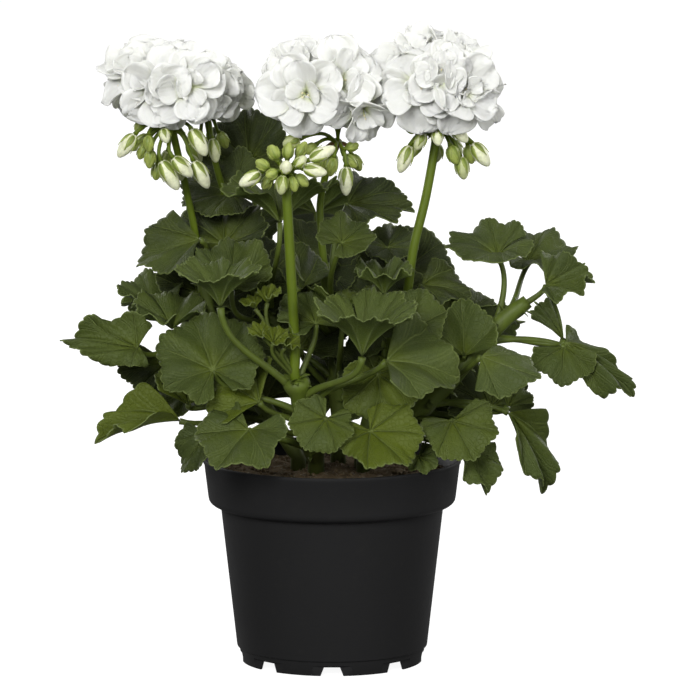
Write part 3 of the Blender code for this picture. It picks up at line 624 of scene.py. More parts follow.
def leaf(stem, along, at, normal, tip, radius, spread=160, cup=0.3, fold=0.1, curl=-0.3, droop=-0.15,
         back=0.75, thick=1.0, lead=0.45, narrow=1.0, tone=0.42, ruffle=0.14, puff=0.18, detail=30):
    # stem and share of the way up it, then the blade: middle, upper side, midrib, radius in mm,
    # spread in degrees to each side of the midrib, and how it cups, folds, curls and ruffles
    return dict(locals())


leaves = {
    "left_1": leaf("left", 0.65, (-97, -25, 64), (0.1, -0.75, 0.65), (-1, -0.1, 0.15), 38, 105, 0.1, 0.2,
        -0.2, back=0.6, narrow=0.42, ruffle=0.22, tone=0.38),
    "left_2": leaf("left", 0.78, (-91, 22, 77), (-0.05, -0.2, 1), (-0.3, 0.95, 0.1), 22, 160, 0.8, 0, -0.5,
        0),
    "left_3": leaf("left", 0.55, (-80, -11, 72), (0, -0.15, 1), (-0.5, 0.85, 0), 25, 160, 0.75, 0, -0.45, 0,
        tone=0.36),
    "left_4": leaf("left", 0.9, (-66, -10, 117), (-0.3, -0.6, 0.7), (-0.93, -0.1, -0.3), 33, 75, 0.2, 0.2,
        -0.3, narrow=0.75, ruffle=0.14, tone=0.25),
    "left_5": leaf("left", 0.45, (-84, 16, 50), (0, -0.7, 0.7), (-1, -0.1, -0.35), 24, 55, tone=0.15),
    "left_6": leaf("left", 0.25, (-76, -20, 27), (0, -0.35, 0.9), (-0.92, -0.1, -0.28), 42, 65, 0.1, 0.4,
        -0.2, lead=2.5, narrow=0.42, ruffle=0.12, tone=0.8),
    "left_7": leaf("left", 0.35, (-72, -2, 32), (0.3, -0.9, 0.2), (-0.15, 0.1, 1), 24, 62, 0.1, 0.5,
        tone=0.7),
    "left_8": leaf("front", 0.25, (-61, -33, 22), (-0.4, -0.8, 0.45), (-0.75, -0.2, -0.65), 23, 80, 0.1, 0.3,
        narrow=0.6, ruffle=0.2, tone=0.25),
    "crown_1": leaf("back_left", 0.65, (-26, -20, 127), (0, 0.12, 1), (-0.1, 0.95, 0), 36, 160, 0.8, 0, -0.55,
        0, back=0.85, tone=0.3),
    "crown_2": leaf("back_left", 0.78, (-42, 35, 151), (-0.2, -0.85, 0.45), (-0.1, 0.3, 0.9), 27, 150,
        tone=0.08),
    "crown_3": leaf("back_left", 0.55, (-50, -27, 94), (0, -0.4, 0.9), (0.05, 0.9, 0.3), 28, 150, 0.6, 0,
        -0.4, 0, back=0.5, tone=0.33),
    "crown_4": leaf("back", 0.72, (5, -30, 118), (0.1, -0.6, 0.8), (0.5, 0.2, 0.6), 17, 160, tone=0.25),
    "crown_5": leaf("back", 0.6, (-16, -20, 94), (0.9, -0.4, 0.1), (-0.1, 0.1, 1), 23, 75, 0.1, 0.5,
        tone=0.2),
    "crown_6": leaf("back", 0.82, (8, 17, 131), (0, -0.6, 0.8), (0.95, -0.1, 0.05), 32, 95, 0.1, 0.2, -0.2,
        narrow=0.65, ruffle=0.1, tone=0.08),
    "crown_7": leaf("centre", 0.7, (28, 24, 108), (0, -0.4, 0.9), (0.2, -0.8, -0.1), 18, 150, tone=0.2),
    "front_1": leaf("front", 0.8, (-55, -58, 90), (-0.05, -0.1, 1), (-0.3, -0.9, 0), 28, 179, 1.05, 0, -0.7,
        0, back=1.0, thick=1.2, lead=0, ruffle=0.08, tone=0.45),
    "front_2": leaf("front", 0.62, (-59, -42, 56), (-0.05, -0.75, 0.6), (-0.3, 0.4, 0.8), 33, 165, 0.15,
        back=0.6, tone=0.38),
    "front_3": leaf("front", 0.4, (-41, -55, 28), (-0.15, -0.65, 0.75), (-0.5, -0.6, -0.6), 30, 130, back=0.5,
        puff=0.14, tone=0.36),
    "front_4": leaf("front", 0.35, (-3, -52, 33), (0.1, -0.8, 0.55), (-0.5, -0.5, -0.7), 21, 150, back=0.5,
        tone=0.6),
    "front_5": leaf("front", 0.3, (19, -48, 26), (0.05, -0.7, 0.7), (0.6, -0.5, -0.6), 29, 150, thick=1.2,
        back=0.4, tone=0.8),
    "front_6": leaf("centre", 0.4, (23, -31, 52), (0, -0.95, 0.3), (0.1, -0.12, -0.99), 26, 130, 0.15,
        back=0.4, tone=0.7),
    "front_7": leaf("front", 0.7, (27, -53, 62), (0.1, -0.6, 0.75), (0.95, 0, -0.12), 36, 85, 0.25, 0.2,
        -0.45, thick=1.2, narrow=0.9, ruffle=0.2, tone=0.4),
    "front_8": leaf("front", 0.78, (15, -63, 66), (0.05, -0.16, 1), (0.3, -0.9, 0), 35, 179, 1.1, 0, -0.7, 0,
        back=1.0, thick=1.2, lead=0, ruffle=0.08, tone=0.5),
    "middle_1": leaf("centre", 0.5, (39, -30, 74), (0, -0.8, 0.5), (0.2, 0.4, 0.9), 22, 130, back=0.6,
        tone=0.3),
    "middle_2": leaf("centre", 0.62, (26, -22, 91), (0, -0.1, 1), (-0.3, -0.9, 0), 20, 179, 1.0, 0, -0.5, 0,
        back=1.0, lead=0, tone=0.4),
    "middle_3": leaf("centre", 0.76, (45, 2, 92), (0, -0.55, 0.8), (0.93, -0.1, -0.25), 25, 85, droop=-0.4,
        narrow=0.7, tone=0.1),
    "right_1": leaf("right", 0.3, (60, -34, 29), (0.1, -0.8, 0.6), (0.4, -0.5, -0.75), 25, 110, back=0.5,
        tone=0.6),
    "right_2": leaf("right", 0.2, (67, -28, 14), (0.5, -0.7, 0.5), (0.45, -0.3, -0.85), 25, 80, 0.1, 0.4,
        narrow=0.6, ruffle=0.2, tone=0.4),
    "right_3": leaf("right", 0.4, (88, -20, 31), (0.6, -0.7, 0.35), (0.72, -0.1, -0.7), 47, 75, 0, 0.3,
        lead=1.0, narrow=0.36, ruffle=0.12, tone=0.5),
    "right_4": leaf("centre", 0.3, (80, 4, 30), (0.1, -0.8, 0.5), (-0.4, 0.2, 0.85), 25, 140, tone=0.1),
    "right_5": leaf("right", 0.5, (74, -45, 63), (0.15, -0.55, 0.8), (0.9, -0.2, -0.3), 31, 80, 0.1, -0.2,
        narrow=0.8, tone=0.42),
    "right_6": leaf("right", 0.62, (66, -15, 59), (0.1, -0.95, 0.25), (-0.05, 0.2, 1), 28, 85, 0.3, 0.5,
        narrow=0.75, ruffle=0.14, tone=0.34),
    "right_7": leaf("right", 0.75, (117, -10, 65), (0.3, -0.7, 0.6), (0.83, -0.05, -0.55), 42, 100, 0.1, -0.3,
        -0.2, back=0.5, narrow=0.42, ruffle=0.16, tone=0.34),
    "right_8": leaf("right", 0.82, (83, 0, 107), (-0.1, -0.3, 0.95), (-0.9, -0.3, 0.1), 28, 170, 0.7, 0, -0.8,
        back=0.7, ruffle=0.16, tone=0.3),
    "right_9": leaf("right", 0.88, (99, 22, 101), (0.1, -0.35, 0.95), (0.8, 0.3, 0.1), 26, 165, 0.6, 0, -0.7,
        ruffle=0.16, tone=0.28),
    "right_10": leaf("right", 0.94, (107, -6, 93), (-0.1, -0.6, 0.8), (0.95, -0.1, 0.15), 24, 95, 0.3,
        narrow=0.8, ruffle=0.22, tone=0.38),
    "back_1": leaf("left", 0.7, (-78, 58, 76), (-0.2, 0.4, 0.9), (-0.8, 0.6, -0.1), 30),
    "back_2": leaf("back_left", 0.45, (-52, 62, 107), (-0.1, 0.5, 0.85), (-0.4, 0.9, 0), 34),
    "back_3": leaf("back", 0.66, (-8, 66, 120), (0, 0.5, 0.85), (0, 1, 0), 34),
    "back_4": leaf("centre", 0.56, (18, 60, 98), (0.1, 0.5, 0.85), (0.5, 0.85, -0.1), 32),
    "back_5": leaf("right", 0.65, (66, 48, 66), (0.2, 0.4, 0.9), (0.8, 0.6, -0.1), 32),
    "back_6": leaf("back_left", 0.3, (-52, 62, 50), (-0.3, 0.6, 0.75), (-0.6, 0.8, -0.3), 33),
    "back_7": leaf("centre", 0.3, (40, 64, 50), (0.3, 0.6, 0.75), (0.6, 0.8, -0.3), 33),
    # small and half hidden leaves that stand between the others
    "left_9": leaf("left", 0.93, (-71, 2, 104), (-0.1, -0.5, 0.85), (-0.6, 0.1, 0.5), 12, 150, tone=0.3),
    "crown_8": leaf("back_left", 0.72, (-50, 20, 136), (-0.1, -0.6, 0.8), (-0.7, 0.1, 0.3), 27, 150,
        tone=0.1),
    "crown_9": leaf("back_left", 0.6, (-54, 6, 112), (-0.1, -0.6, 0.8), (-0.5, 0.2, 0.5), 30, 150, tone=0.12),
    "front_9": leaf("front", 0.5, (-36, -43, 40), (0, -0.8, 0.6), (-0.75, 0.1, 0.5), 27, 75, 0.2, tone=0.75),
    "front_10": leaf("right", 0.22, (43, -42, 12), (0.2, -0.6, 0.75), (0.3, -0.6, -0.5), 11, 150, tone=0.5),
    "middle_4": leaf("back", 0.35, (5, -20, 80), (0, 0.2, 0.95), (0, 0.9, 0.1), 24, 150, 0.7, tone=0.6),
    "middle_5": leaf("front", 0.9, (-8, -34, 78), (0, -0.5, 0.85), (-0.2, 0.8, 0.3), 22, 150, 0.3, tone=0.42),
    "right_11": leaf("right", 0.74, (116, -13, 63), (0.1, -0.9, 0.35), (-0.1, -0.1, -1), 20, 80, tone=0.4),
    "right_12": leaf("right", 0.76, (116, -8, 66), (0.4, -0.8, 0.4), (-0.62, 0.1, 0.78), 24, 28, 0.2, 0.3,
        tone=0.3, ruffle=0.2),
    "right_13": leaf("right", 0.42, (88, -19, 34), (0.3, -0.8, 0.4), (0.45, 0.1, 0.85), 14, 60, 0.2, 0.4),
}
# dark leaves that fill the inside of the plant: their low tones are painted shade for its shaded heart, as
# well as leaf colour
innerLeaves = [  # stem, share of the way up it, middle, upper side, midrib, radius and tone
    ("back", 0.3, (-16, 14, 58), (-0.1, -0.6, 0.8), (-0.2, 0.4, 0.6), 29, 0.2),
    ("left", 0.5, (-50, 26, 60), (-0.2, -0.6, 0.8), (-0.6, 0.2, 0.4), 29, 0.2),
    ("centre", 0.42, (10, 30, 64), (0.1, -0.7, 0.7), (0.2, 0.3, 0.8), 28, 0.2),
    ("centre", 0.5, (44, 26, 58), (0.1, -0.7, 0.7), (0.6, 0.2, 0.5), 29, 0.2),
    ("centre", 0.2, (50, 22, 28), (0.2, -0.7, 0.7), (0.6, 0.2, 0.3), 26, 0.2),
    ("back_left", 0.2, (-34, 24, 30), (-0.2, -0.7, 0.7), (-0.6, 0.2, 0.3), 27, 0.2),
    ("back", 0.15, (4, 34, 30), (0, -0.7, 0.7), (0.1, 0.3, 0.8), 27, 0.2),
    ("left", 0.3, (-72, 26, 34), (-0.2, -0.7, 0.7), (-0.7, 0.1, 0.2), 22, 0.25),
    ("centre", 0.6, (34, 34, 92), (0.1, -0.7, 0.7), (0.5, 0.2, 0.5), 29, 0.12),
    ("back_left", 0.4, (-38, 26, 88), (-0.1, -0.7, 0.7), (-0.4, 0.2, 0.5), 30, 0.12),
    ("back", 0.5, (-6, 34, 96), (0, -0.7, 0.7), (0.1, 0.3, 0.8), 29, 0.12),
    ("right", 0.55, (62, 24, 66), (0.1, -0.7, 0.7), (0.4, 0.2, 0.5), 27, 0.2),
    ("back", 0.4, (-17, 30, 84), (0, -0.9, 0.4), (0.3, 0.2, 0.8), 26, 0.1),
    ("back", 0.4, (24, 26, 80), (0, -0.9, 0.4), (0.3, 0.2, 0.8), 26, 0.1),
    ("back", 0.4, (22, 12, 46), (0, -0.9, 0.4), (0.3, 0.2, 0.8), 26, 0.1),
    ("back", 0.4, (-68, 30, 84), (0, -0.9, 0.4), (0.3, 0.2, 0.8), 26, 0.1),
]
for number, (*shape, tone) in enumerate(innerLeaves, 1):
    leaves["inner_%d" % number] = leaf(*shape, tone=tone, detail=18)
# the young shoot beside the front flower stalk: share of the way up the front stem, middle, upper side,
# midrib, radius, spread and cup
shootLeaves = [
    (0.97, (-32, -49, 91), (0, -0.3, 1), (0.6, 0.8, 0.1), 9, 150, 0.8),
    (0.95, (-38, -48, 88), (-0.3, -0.3, 1), (-0.8, 0.4, 0.3), 8, 150, 0.8),
    (0.96, (-29, -52, 71), (0.1, -0.6, 0.8), (0.3, -0.3, 0.7), 9, 150, 0.7),
    (0.98, (-23, -53, 69), (0.4, -0.5, 0.8), (0.8, 0.1, 0.3), 8, 150, 0.8),
    (0.94, (-34, -50, 74), (-0.3, -0.5, 0.8), (-0.7, 0.1, 0.4), 8, 150, 0.8),
]
for number, shape in enumerate(shootLeaves, 1):
    leaves["shoot_%d" % number] = leaf("front", *shape, thick=0.7, tone=0.95, ruffle=0.2, puff=0.25,
                                       detail=18)


def stemLine(name):
    route, base, tip = stems[name]
    ground = plantPoint((route[0][0], route[0][1], -4))
    points = [ground, *smoothCurve([plantPoint(place) for place in route], 6)]
    last = len(points) - 1
    radii = [(base + (tip - base) * i / last) * mm for i in range(last + 1)]
    return points, radii


def bladeAxes(shape):
    normal = Vector(shape["normal"]).normalized()
    tip = Vector(shape["tip"])
    tip = (tip - normal * tip.dot(normal)).normalized()
    return tip, normal.cross(tip), normal


def leafStalk(shape):
    tip, _, normal = bladeAxes(shape)
    points, _ = stemLine(shape["stem"])
    start, heading = pointAlong(points, shape["along"])
    stop = plantPoint(shape["at"]) - normal * 0.5 * mm
    length = (stop - start).length
    leave = (heading + 1.4 * (stop - start).normalized()).normalized()
    arrive = (normal + shape["lead"] * tip).normalized()
    line = bezier(start, start + leave * 0.4 * length, stop - arrive * 0.35 * length, stop,
                  stalkLook["steps"])
    return line, start, heading, leave


def makeStem(name):
    shape = bmesh.new()
    points, radii = stemLine(name)
    grown = {key: spec for key, spec in leaves.items() if spec["stem"] == name}
    joints = [pointAlong(points, spec["along"])[0] for spec in grown.values()]
    swollen = [radius * (1 + 0.22 * sum(math.exp(-((place - joint).length / 0.004)**2) for joint in joints))
               for place, radius in zip(points, radii)]
    tones = [max(0.0, 0.9 - 1.5 * i / len(points)) for i in range(len(points))]
    addTube(shape, points, swollen, 16, tones)
    for key, spec in grown.items():
        line, start, heading, leave = leafStalk(spec)
        thick = stalkLook["radius"] * spec["thick"] * mm
        last = len(line) - 1
        widths = [thick * (1.25 - 0.4 * i / last + 0.5 * math.exp(-i * 0.8)
                           + 0.35 * math.exp((i - last) * 1.2)) for i in range(last + 1)]
        addTube(shape, line, widths, stalkLook["sides"], [spec["tone"] * 0.5] * len(line))
        side = heading.cross(leave)
        side = side.normalized() if side.length > 1e-3 else Vector((1, 0, 0))
        for way in (-1, 1):  # a pair of stipules at the foot of the leaf stalk
            out = (side * way + leave * 0.5).normalized()
            lift = (leave * 0.6 + heading * 0.4).normalized()
            lift = (lift - out * lift.dot(out)).normalized()
            addBract(shape, start + out * 2 * mm, out, lift, stalkLook["stipuleLength"] * mm,
                     stalkLook["stipuleWidth"] * mm)
    bmesh.ops.recalc_face_normals(shape, faces=shape.faces)
    addPiece("stem_with_leaf_stalks_" + name, shape, "stem", [stemGreen], ["stem_" + name])


def makeBlade(name, spec, seed):
    tip, side, normal = bladeAxes(spec)
    middle = plantPoint(spec["at"])
    radius, spread = spec["radius"] * mm, math.radians(spec["spread"])
    lobes = max(3, 2 * round((2 * spread / math.radians(leafLook["lobeAngle"]) - 1) / 2) + 1)
    shape = bmesh.new()
    bladeMap = shape.loops.layers.uv.new("blade")
    tone = vertLayer(shape, "tone")
    bmesh.ops.create_grid(shape, x_segments=lobes * spec["detail"], y_segments=leafLook["rings"], size=1.0)
    for face in shape.faces:
        for loop in face.loops:
            loop[bladeMap].uv = (loop.vert.co.x * lobes / 20 + 0.5, (loop.vert.co.y + 1) / 2)
    phase = seed * 1.7
    for spot in shape.verts:
        angle = spot.co.x * spread
        share = ((spot.co.y + 1) / 2)**0.9
        lobe = spot.co.x * lobes / 2
        aside = lobe - round(lobe)
        flatX, flatY = math.cos(angle), math.sin(angle)
        wave = noise.noise(Vector((flatX * 1.3, flatY * 1.3, seed * 3.1)))
        reach = radius * ((1 + spec["back"]) / 2 + (1 - spec["back"]) / 2 * flatX)
        reach *= 1 + 0.05 * math.cos(2 * math.pi * aside) - 0.02 + 0.05 * wave
        reach *= 1 + 0.045 * (abs(math.sin(math.pi * 5 * (lobe + 0.5)))**0.8 - 0.6) * share**5
        rise = spec["cup"] + spec["fold"] * flatY**2
        bend = spec["curl"] + spec["droop"] * flatX
        turn = rise + bend * share
        if abs(bend) > 1e-4:
            out = (math.sin(turn) - math.sin(rise)) / bend
            lift = (math.cos(rise) - math.cos(turn)) / bend
        else:
            out, lift = math.cos(rise) * share, math.sin(rise) * share
        lift += spec["puff"] * abs(math.sin(math.pi * aside))**0.9 * share * (1.2 - 0.6 * share)
        swell = noise.noise(Vector((lobe * 0.9, share * 0.8, seed * 4.3)))
        frill = noise.noise(Vector((lobe * 3.2, share * 1.5, seed * 2.9)))
        lift += spec["ruffle"] * share**2 * (0.55 * math.sin(lobe * 2 * math.pi + phase) + 1.6 * swell)
        lift += 0.05 * share**4 * frill + 0.022 * share * noise.noise(Vector((flatX, flatY, 0)) * share * 7)
        flat = tip * flatX + side * flatY * spec["narrow"]
        spot.co = middle + reach * (out * flat + lift * normal)
        spot[tone] = spec["tone"] + 0.12 * wave
    bmesh.ops.remove_doubles(shape, verts=shape.verts, dist=1e-6)
    bmesh.ops.reverse_faces(shape, faces=shape.faces)
    nodes = [node for node in ["leaf_" + name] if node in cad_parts]  # half hidden blades have none
    piece = addPiece("leaf_blade_" + name, shape, "leaf", [leafTop, leafUnder], nodes)
    solidified(piece, leafLook["thickness"] * mm, -1.0, 1)


for stemName in stems:
    makeStem(stemName)
print("stems made")
for seed, (leafName, leafSpec) in enumerate(leaves.items(), 1):
    makeBlade(leafName, leafSpec, seed)
print("leaves made")

# flower stalks with their hubs and buds

flowerStalks = {
    "front": {"stem": "front", "radius": 2.7,
              "route": [(-18.3, -45, 68), (-20, -49, 102), (-22, -52, 140), (-22.6, -52, 155)]},
    "left": {"stem": "left", "radius": 2.0, "route": [(-68.5, 5, 117), (-73, 0, 141), (-80, -10, 174)]},
    "left_back": {"stem": "back_left", "radius": 1.8,
                  "route": [(-52, 18, 130), (-57, 16, 146), (-60, 13, 160), (-63, 10, 178)]},
    "middle": {"stem": "back", "radius": 2.0,
               "route": [(-5.5, 9, 117), (-6, 10, 132), (-3, 7, 148), (3, -4, 166)]},
    "right": {"stem": "centre", "radius": 2.5,
              "route": [(38.5, 1, 94), (41, 0, 112), (47, 1, 137), (53, 3, 170)]},
}
# each bud: where it starts, where its tip is, how thick it is and how much of it is pale
buds = {
    "left": [
        ((-98, -18, 171), (-106, -18, 160), 3.7, 0.9), ((-93, -10, 177), (-98, -10, 172), 2.5, 0.2),
        ((-91, -22, 171), (-91, -22, 163), 2.8, 0.4), ((-84, -26, 175), (-82, -27, 168), 2.8, 0.9),
        ((-93, -12, 165), (-96, -12, 158), 2.6, 0.3), ((-90, -16, 163), (-91, -16, 154), 3.0, 0.5),
        ((-87, -8, 155), (-88, -8, 147), 2.8, 0.3), ((-85, -20, 158), (-77, -20, 144), 4.2, 1.0),
        ((-79, -24, 160), (-70, -24, 151), 3.9, 0.9), ((-69, -14, 157), (-62, -14, 144), 3.9, 1.0),
        ((-70, -20, 174), (-63, -20, 161), 4.0, 1.0), ((-77, -4, 156), (-75, -2, 146), 3.2, 0.6),
        ((-82, 4, 160), (-84, 10, 149), 3.4, 0.6), ((-72, 6, 164), (-66, 12, 154), 3.4, 0.7),
        ((-92, 2, 168), (-100, 8, 160), 3.0, 0.5),
    ],
    "left_back": [
        ((-60, 4, 166), (-58, 0, 155), 3.2, 0.7), ((-66, 12, 168), (-68, 16, 158), 3.0, 0.5),
        ((-57, 14, 168), (-53, 18, 160), 3.0, 0.4),
    ],
    "front": [
        ((-35, -58, 157), (-45, -59, 151), 3.5, 0.95), ((-31, -60, 159), (-37, -61, 163), 2.8, 0.3),
        ((-27, -56, 163), (-30, -56, 170), 3.0, 0.35), ((-22, -54, 163), (-21, -54, 171), 2.8, 0.3),
        ((-23, -62, 158), (-22, -67, 163), 3.2, 1.0), ((-24, -62, 156), (-25, -63, 147), 3.2, 0.6),
        ((-18, -60, 160), (-13, -61, 165), 2.7, 0.7), ((-11, -57, 163), (1, -57, 169), 3.5, 1.0),
        ((-14, -59, 159), (-3, -60, 157), 3.3, 0.95), ((-18, -54, 155), (-12, -54, 150), 2.8, 0.4),
        ((-30, -50, 154), (-34, -50, 148), 2.8, 0.4), ((-20, -58, 155), (-18, -60, 148), 2.6, 0.4),
        ((-27, -62, 158), (-32, -65, 156), 2.6, 0.4), ((-17, -48, 163), (-13, -44, 170), 2.8, 0.4),
        ((-27, -48, 162), (-31, -44, 168), 2.8, 0.4), ((-22, -46, 157), (-21, -40, 152), 3.0, 0.5),
    ],
    "middle": [
        ((7, -12, 154), (7, -12, 140), 3.7, 0.95), ((1, -16, 159), (-1, -16, 150), 2.8, 0.3),
        ((7, -12, 163), (13, -12, 165), 2.5, 0.1), ((-16, -20, 169), (-24, -20, 166), 3.4, 0.6),
        ((6, -6, 159), (12, -6, 153), 2.8, 0.3), ((-4, 2, 158), (-7, 2, 150), 3.0, 0.3),
        ((10, 2, 158), (14, 6, 150), 3.0, 0.5), ((-8, -12, 165), (-13, -14, 161), 2.8, 0.2),
        ((0, 4, 158), (0, 10, 149), 3.2, 0.5),
    ],
    "right": [
        ((39, -8, 164), (34, -8, 151), 3.7, 0.9), ((46, -14, 171), (42, -14, 163), 2.9, 0.7),
        ((52, -18, 173), (53, -21, 166), 3.0, 1.0), ((59, -14, 176), (67, -14, 167), 3.6, 1.0),
        ((59, -8, 164), (62, -8, 155), 3.3, 0.3), ((64, -4, 158), (66, -4, 147), 3.6, 0.6),
        ((68, 2, 163), (70, 2, 154), 3.2, 0.4), ((70, -6, 165), (78, -6, 154), 3.9, 1.0),
        ((42, 6, 169), (37, 6, 173), 2.5, 0.1), ((65, 4, 170), (71, 4, 175), 2.6, 0.1),
        ((53, 12, 162), (52, 16, 153), 3.4, 0.6), ((44, 8, 164), (38, 12, 156), 3.4, 0.6),
        ((60, 10, 164), (64, 16, 156), 3.4, 0.6),
    ],
}
budLook = {"pedicel": 0.95, "sepals": 5, "skin": 0.3, "bracts": 8, "bractLength": 6.0, "bractWidth": 3.6}


def addBud(shape, start, stop, thick, pale):
    tip = vertLayer(shape, "tip")
    place = Matrix.Translation(start) @ (stop - start).to_track_quat("Z", "Y").to_matrix().to_4x4()
    length, radius = (stop - start).length * 1.05, thick * mm
    for spot in bmesh.ops.create_uvsphere(shape, u_segments=10, v_segments=8, radius=1.0)["verts"]:
        along = (spot.co.z + 1) / 2
        around = math.atan2(spot.co.y, spot.co.x)
        fat = radius * (1.10 - 0.35 * along) * (1 + 0.06 * math.cos(5 * around))
        spot.co = place @ Vector((spot.co.x * fat, spot.co.y * fat, along * length))
        spot[tip] = 0.25 + (0.75 * pale if pale > 0.5 else 0.35 * along * pale)
    for around in turns(budLook["sepals"]):
        reach = 0.92 - 0.30 * pale
        for spot in bmesh.ops.create_grid(shape, x_segments=4, y_segments=6, size=1.0)["verts"]:
            across, along = spot.co.x, (spot.co.y + 1) / 2
            high = along * reach
            fat = radius * 2 * math.sqrt(max(high * (1 - high), 0.006)) * (1.10 - 0.35 * high) * 1.09
            half = (0.66 - 0.22 * pale) * math.sin(math.pi * min(along * 0.75 + 0.25, 1)) * (1 - along**2.5)
            spin = around + across * half
            fat += (along**3 * 0.6 - 0.15 * across**2) * mm
            spot.co = place @ Vector((math.cos(spin) * fat, math.sin(spin) * fat, high * length))
            spot[tip] = 0.06 + 0.22 * abs(across) + 0.12 * along


def makeFlowerStalk(name):
    spec = flowerStalks[name]
    stem, _ = stemLine(spec["stem"])
    heading = (stem[-1] - stem[-2]).normalized()
    start = stem[-1] - heading * 0.5 * mm
    points = smoothCurve([start, start + heading * 4 * mm, *map(plantPoint, spec["route"])], 7)
    shape = bmesh.new()
    thick = spec["radius"] * mm
    last = len(points) - 1
    radii = [thick * (1.0 - 0.12 * i / last) * (1 + 0.25 * math.exp((i - last) * 0.9))
             for i in range(last + 1)]
    addTube(shape, points, radii, 14, [0.3 * (1 - i / last) for i in range(last + 1)])
    cluster = bmesh.new()
    hub = points[-1]
    for place, end, fat, pale in buds[name]:
        start, stop = plantPoint(place), plantPoint(end)
        span = (start - hub).length
        out = (start - hub).normalized()
        hang = (stop - start).normalized()
        line = bezier(hub - up * 2 * mm, hub + (out + up * 0.7).normalized() * 0.4 * span,
                      start - hang * 0.35 * span, start, 8)
        addTube(shape, line, [budLook["pedicel"] * mm] * 8 + [1.5 * budLook["pedicel"] * mm], 7, [0.1] * 9)
        addBud(cluster, start, stop, fat, pale)
    plain = len(shape.faces)
    for around in turns(budLook["bracts"]):
        out = spoke(around, -0.25).normalized()
        lift = (up - out * up.dot(out)).normalized()
        addBract(shape, hub - up * mm + out * 1.5 * mm, out, lift, budLook["bractLength"] * mm,
                 budLook["bractWidth"] * mm)
    for face in list(shape.faces)[plain:]:
        face.material_index = 1
    bmesh.ops.recalc_face_normals(shape, faces=shape.faces)
    bmesh.ops.recalc_face_normals(cluster, faces=cluster.faces)
    addPiece("flower_stalk_and_hub_" + name, shape, "flower_stalk",
             [stalkGreen, bractRed if name == "middle" else stalkGreen], ["flower_stalk_" + name])
    solidified(addPiece("buds_" + name, cluster, "flower_stalk", [budGreen]), budLook["skin"] * mm, 0.0)


for stalkName in flowerStalks:
    makeFlowerStalk(stalkName)
print("flower stalks and buds made")

# flower heads

# each open floret: its middle, the way it faces and its size
flowerHeads = {
    "left": [
        ((-99, -10, 203), (-0.4, -0.6, 0.65), 1.1), ((-104, -6, 194), (-0.7, -0.4, -0.4), 0.8),
        ((-86, -27, 194), (-0.15, -0.9, 0.0), 1.12), ((-72, -30, 196), (0.1, -0.9, 0.05), 1.08),
        ((-80, -14, 204), (0.05, -0.65, 0.75), 1.1), ((-91, -18, 200), (-0.3, -0.8, 0.5), 0.9),
        ((-84, 10, 199), (-0.1, 0.5, 0.85), 1.0), ((-97, 14, 194), (-0.6, 0.75, 0.1), 1.0),
        ((-86, 25, 191), (0.1, 0.95, 0.15), 1.0),
    ],
    "left_back": [
        ((-57, -10, 195), (0.5, -0.8, 0.1), 0.85), ((-55, 2, 199), (0.2, -0.5, 0.85), 0.75),
        ((-61, -14, 189), (0.25, -0.85, -0.45), 0.85), ((-57, 12, 195), (0.8, 0.3, 0.4), 0.85),
        ((-53, 24, 188), (0.1, 0.95, 0.1), 0.9),
    ],
    "middle": [
        ((-13, -36, 193), (-0.1, -0.97, 0.05), 1.18), ((5, -28, 199), (0.25, -0.9, 0.25), 1.12),
        ((-16, -14, 206), (-0.2, -0.6, 0.75), 1.0), ((4, -10, 206), (0.15, -0.5, 0.85), 1.0),
        ((-27, -10, 199), (-0.8, -0.5, 0.3), 0.95), ((17, -24, 182), (0.4, -0.7, -0.6), 1.05),
        ((16, -8, 191), (0.8, -0.4, 0.1), 0.8), ((-4, 6, 208), (0, 0.3, 0.95), 1.0),
        ((-19, 20, 194), (-0.5, 0.8, 0.2), 1.0), ((4, 22, 192), (0.2, 0.95, 0.1), 1.0),
    ],
    "right": [
        ((43, -31, 195), (-0.2, -0.95, 0.1), 1.1), ((65, -30, 194), (0.4, -0.85, 0.0), 1.12),
        ((36, -12, 206), (-0.45, -0.6, 0.6), 1.05), ((46, -8, 211), (-0.05, -0.5, 0.85), 1.05),
        ((62, -12, 208), (0.3, -0.6, 0.75), 1.1), ((74, -8, 200), (0.85, -0.4, 0.25), 0.9),
        ((73, -18, 187), (0.6, -0.6, -0.55), 0.95), ((52, 12, 210), (0.1, 0.4, 0.9), 1.05),
        ((66, 20, 198), (0.5, 0.85, 0.2), 1.0), ((36, 20, 197), (-0.5, 0.8, 0.2), 1.0),
        ((51, 26, 190), (0, 0.97, 0), 1.0), ((54, -34, 203), (0.05, -0.9, 0.4), 0.85),
    ],
}
floretLook = {
    "length": 19.5, "width": 9.0, "thickness": 0.35, "pedicel": 0.75, "sepals": 5, "sepalLength": 6.5,
    "sepalWidth": 2.6, "stamens": 3, "stamenRadius": 0.2, "antherRadius": 0.55,
    "rings": [(0, 5, 1.0, 0.25), (1, 3, 0.85, 0.75), (2, 3, 0.55, 1.2)],  # number, petals, size and steepness
}


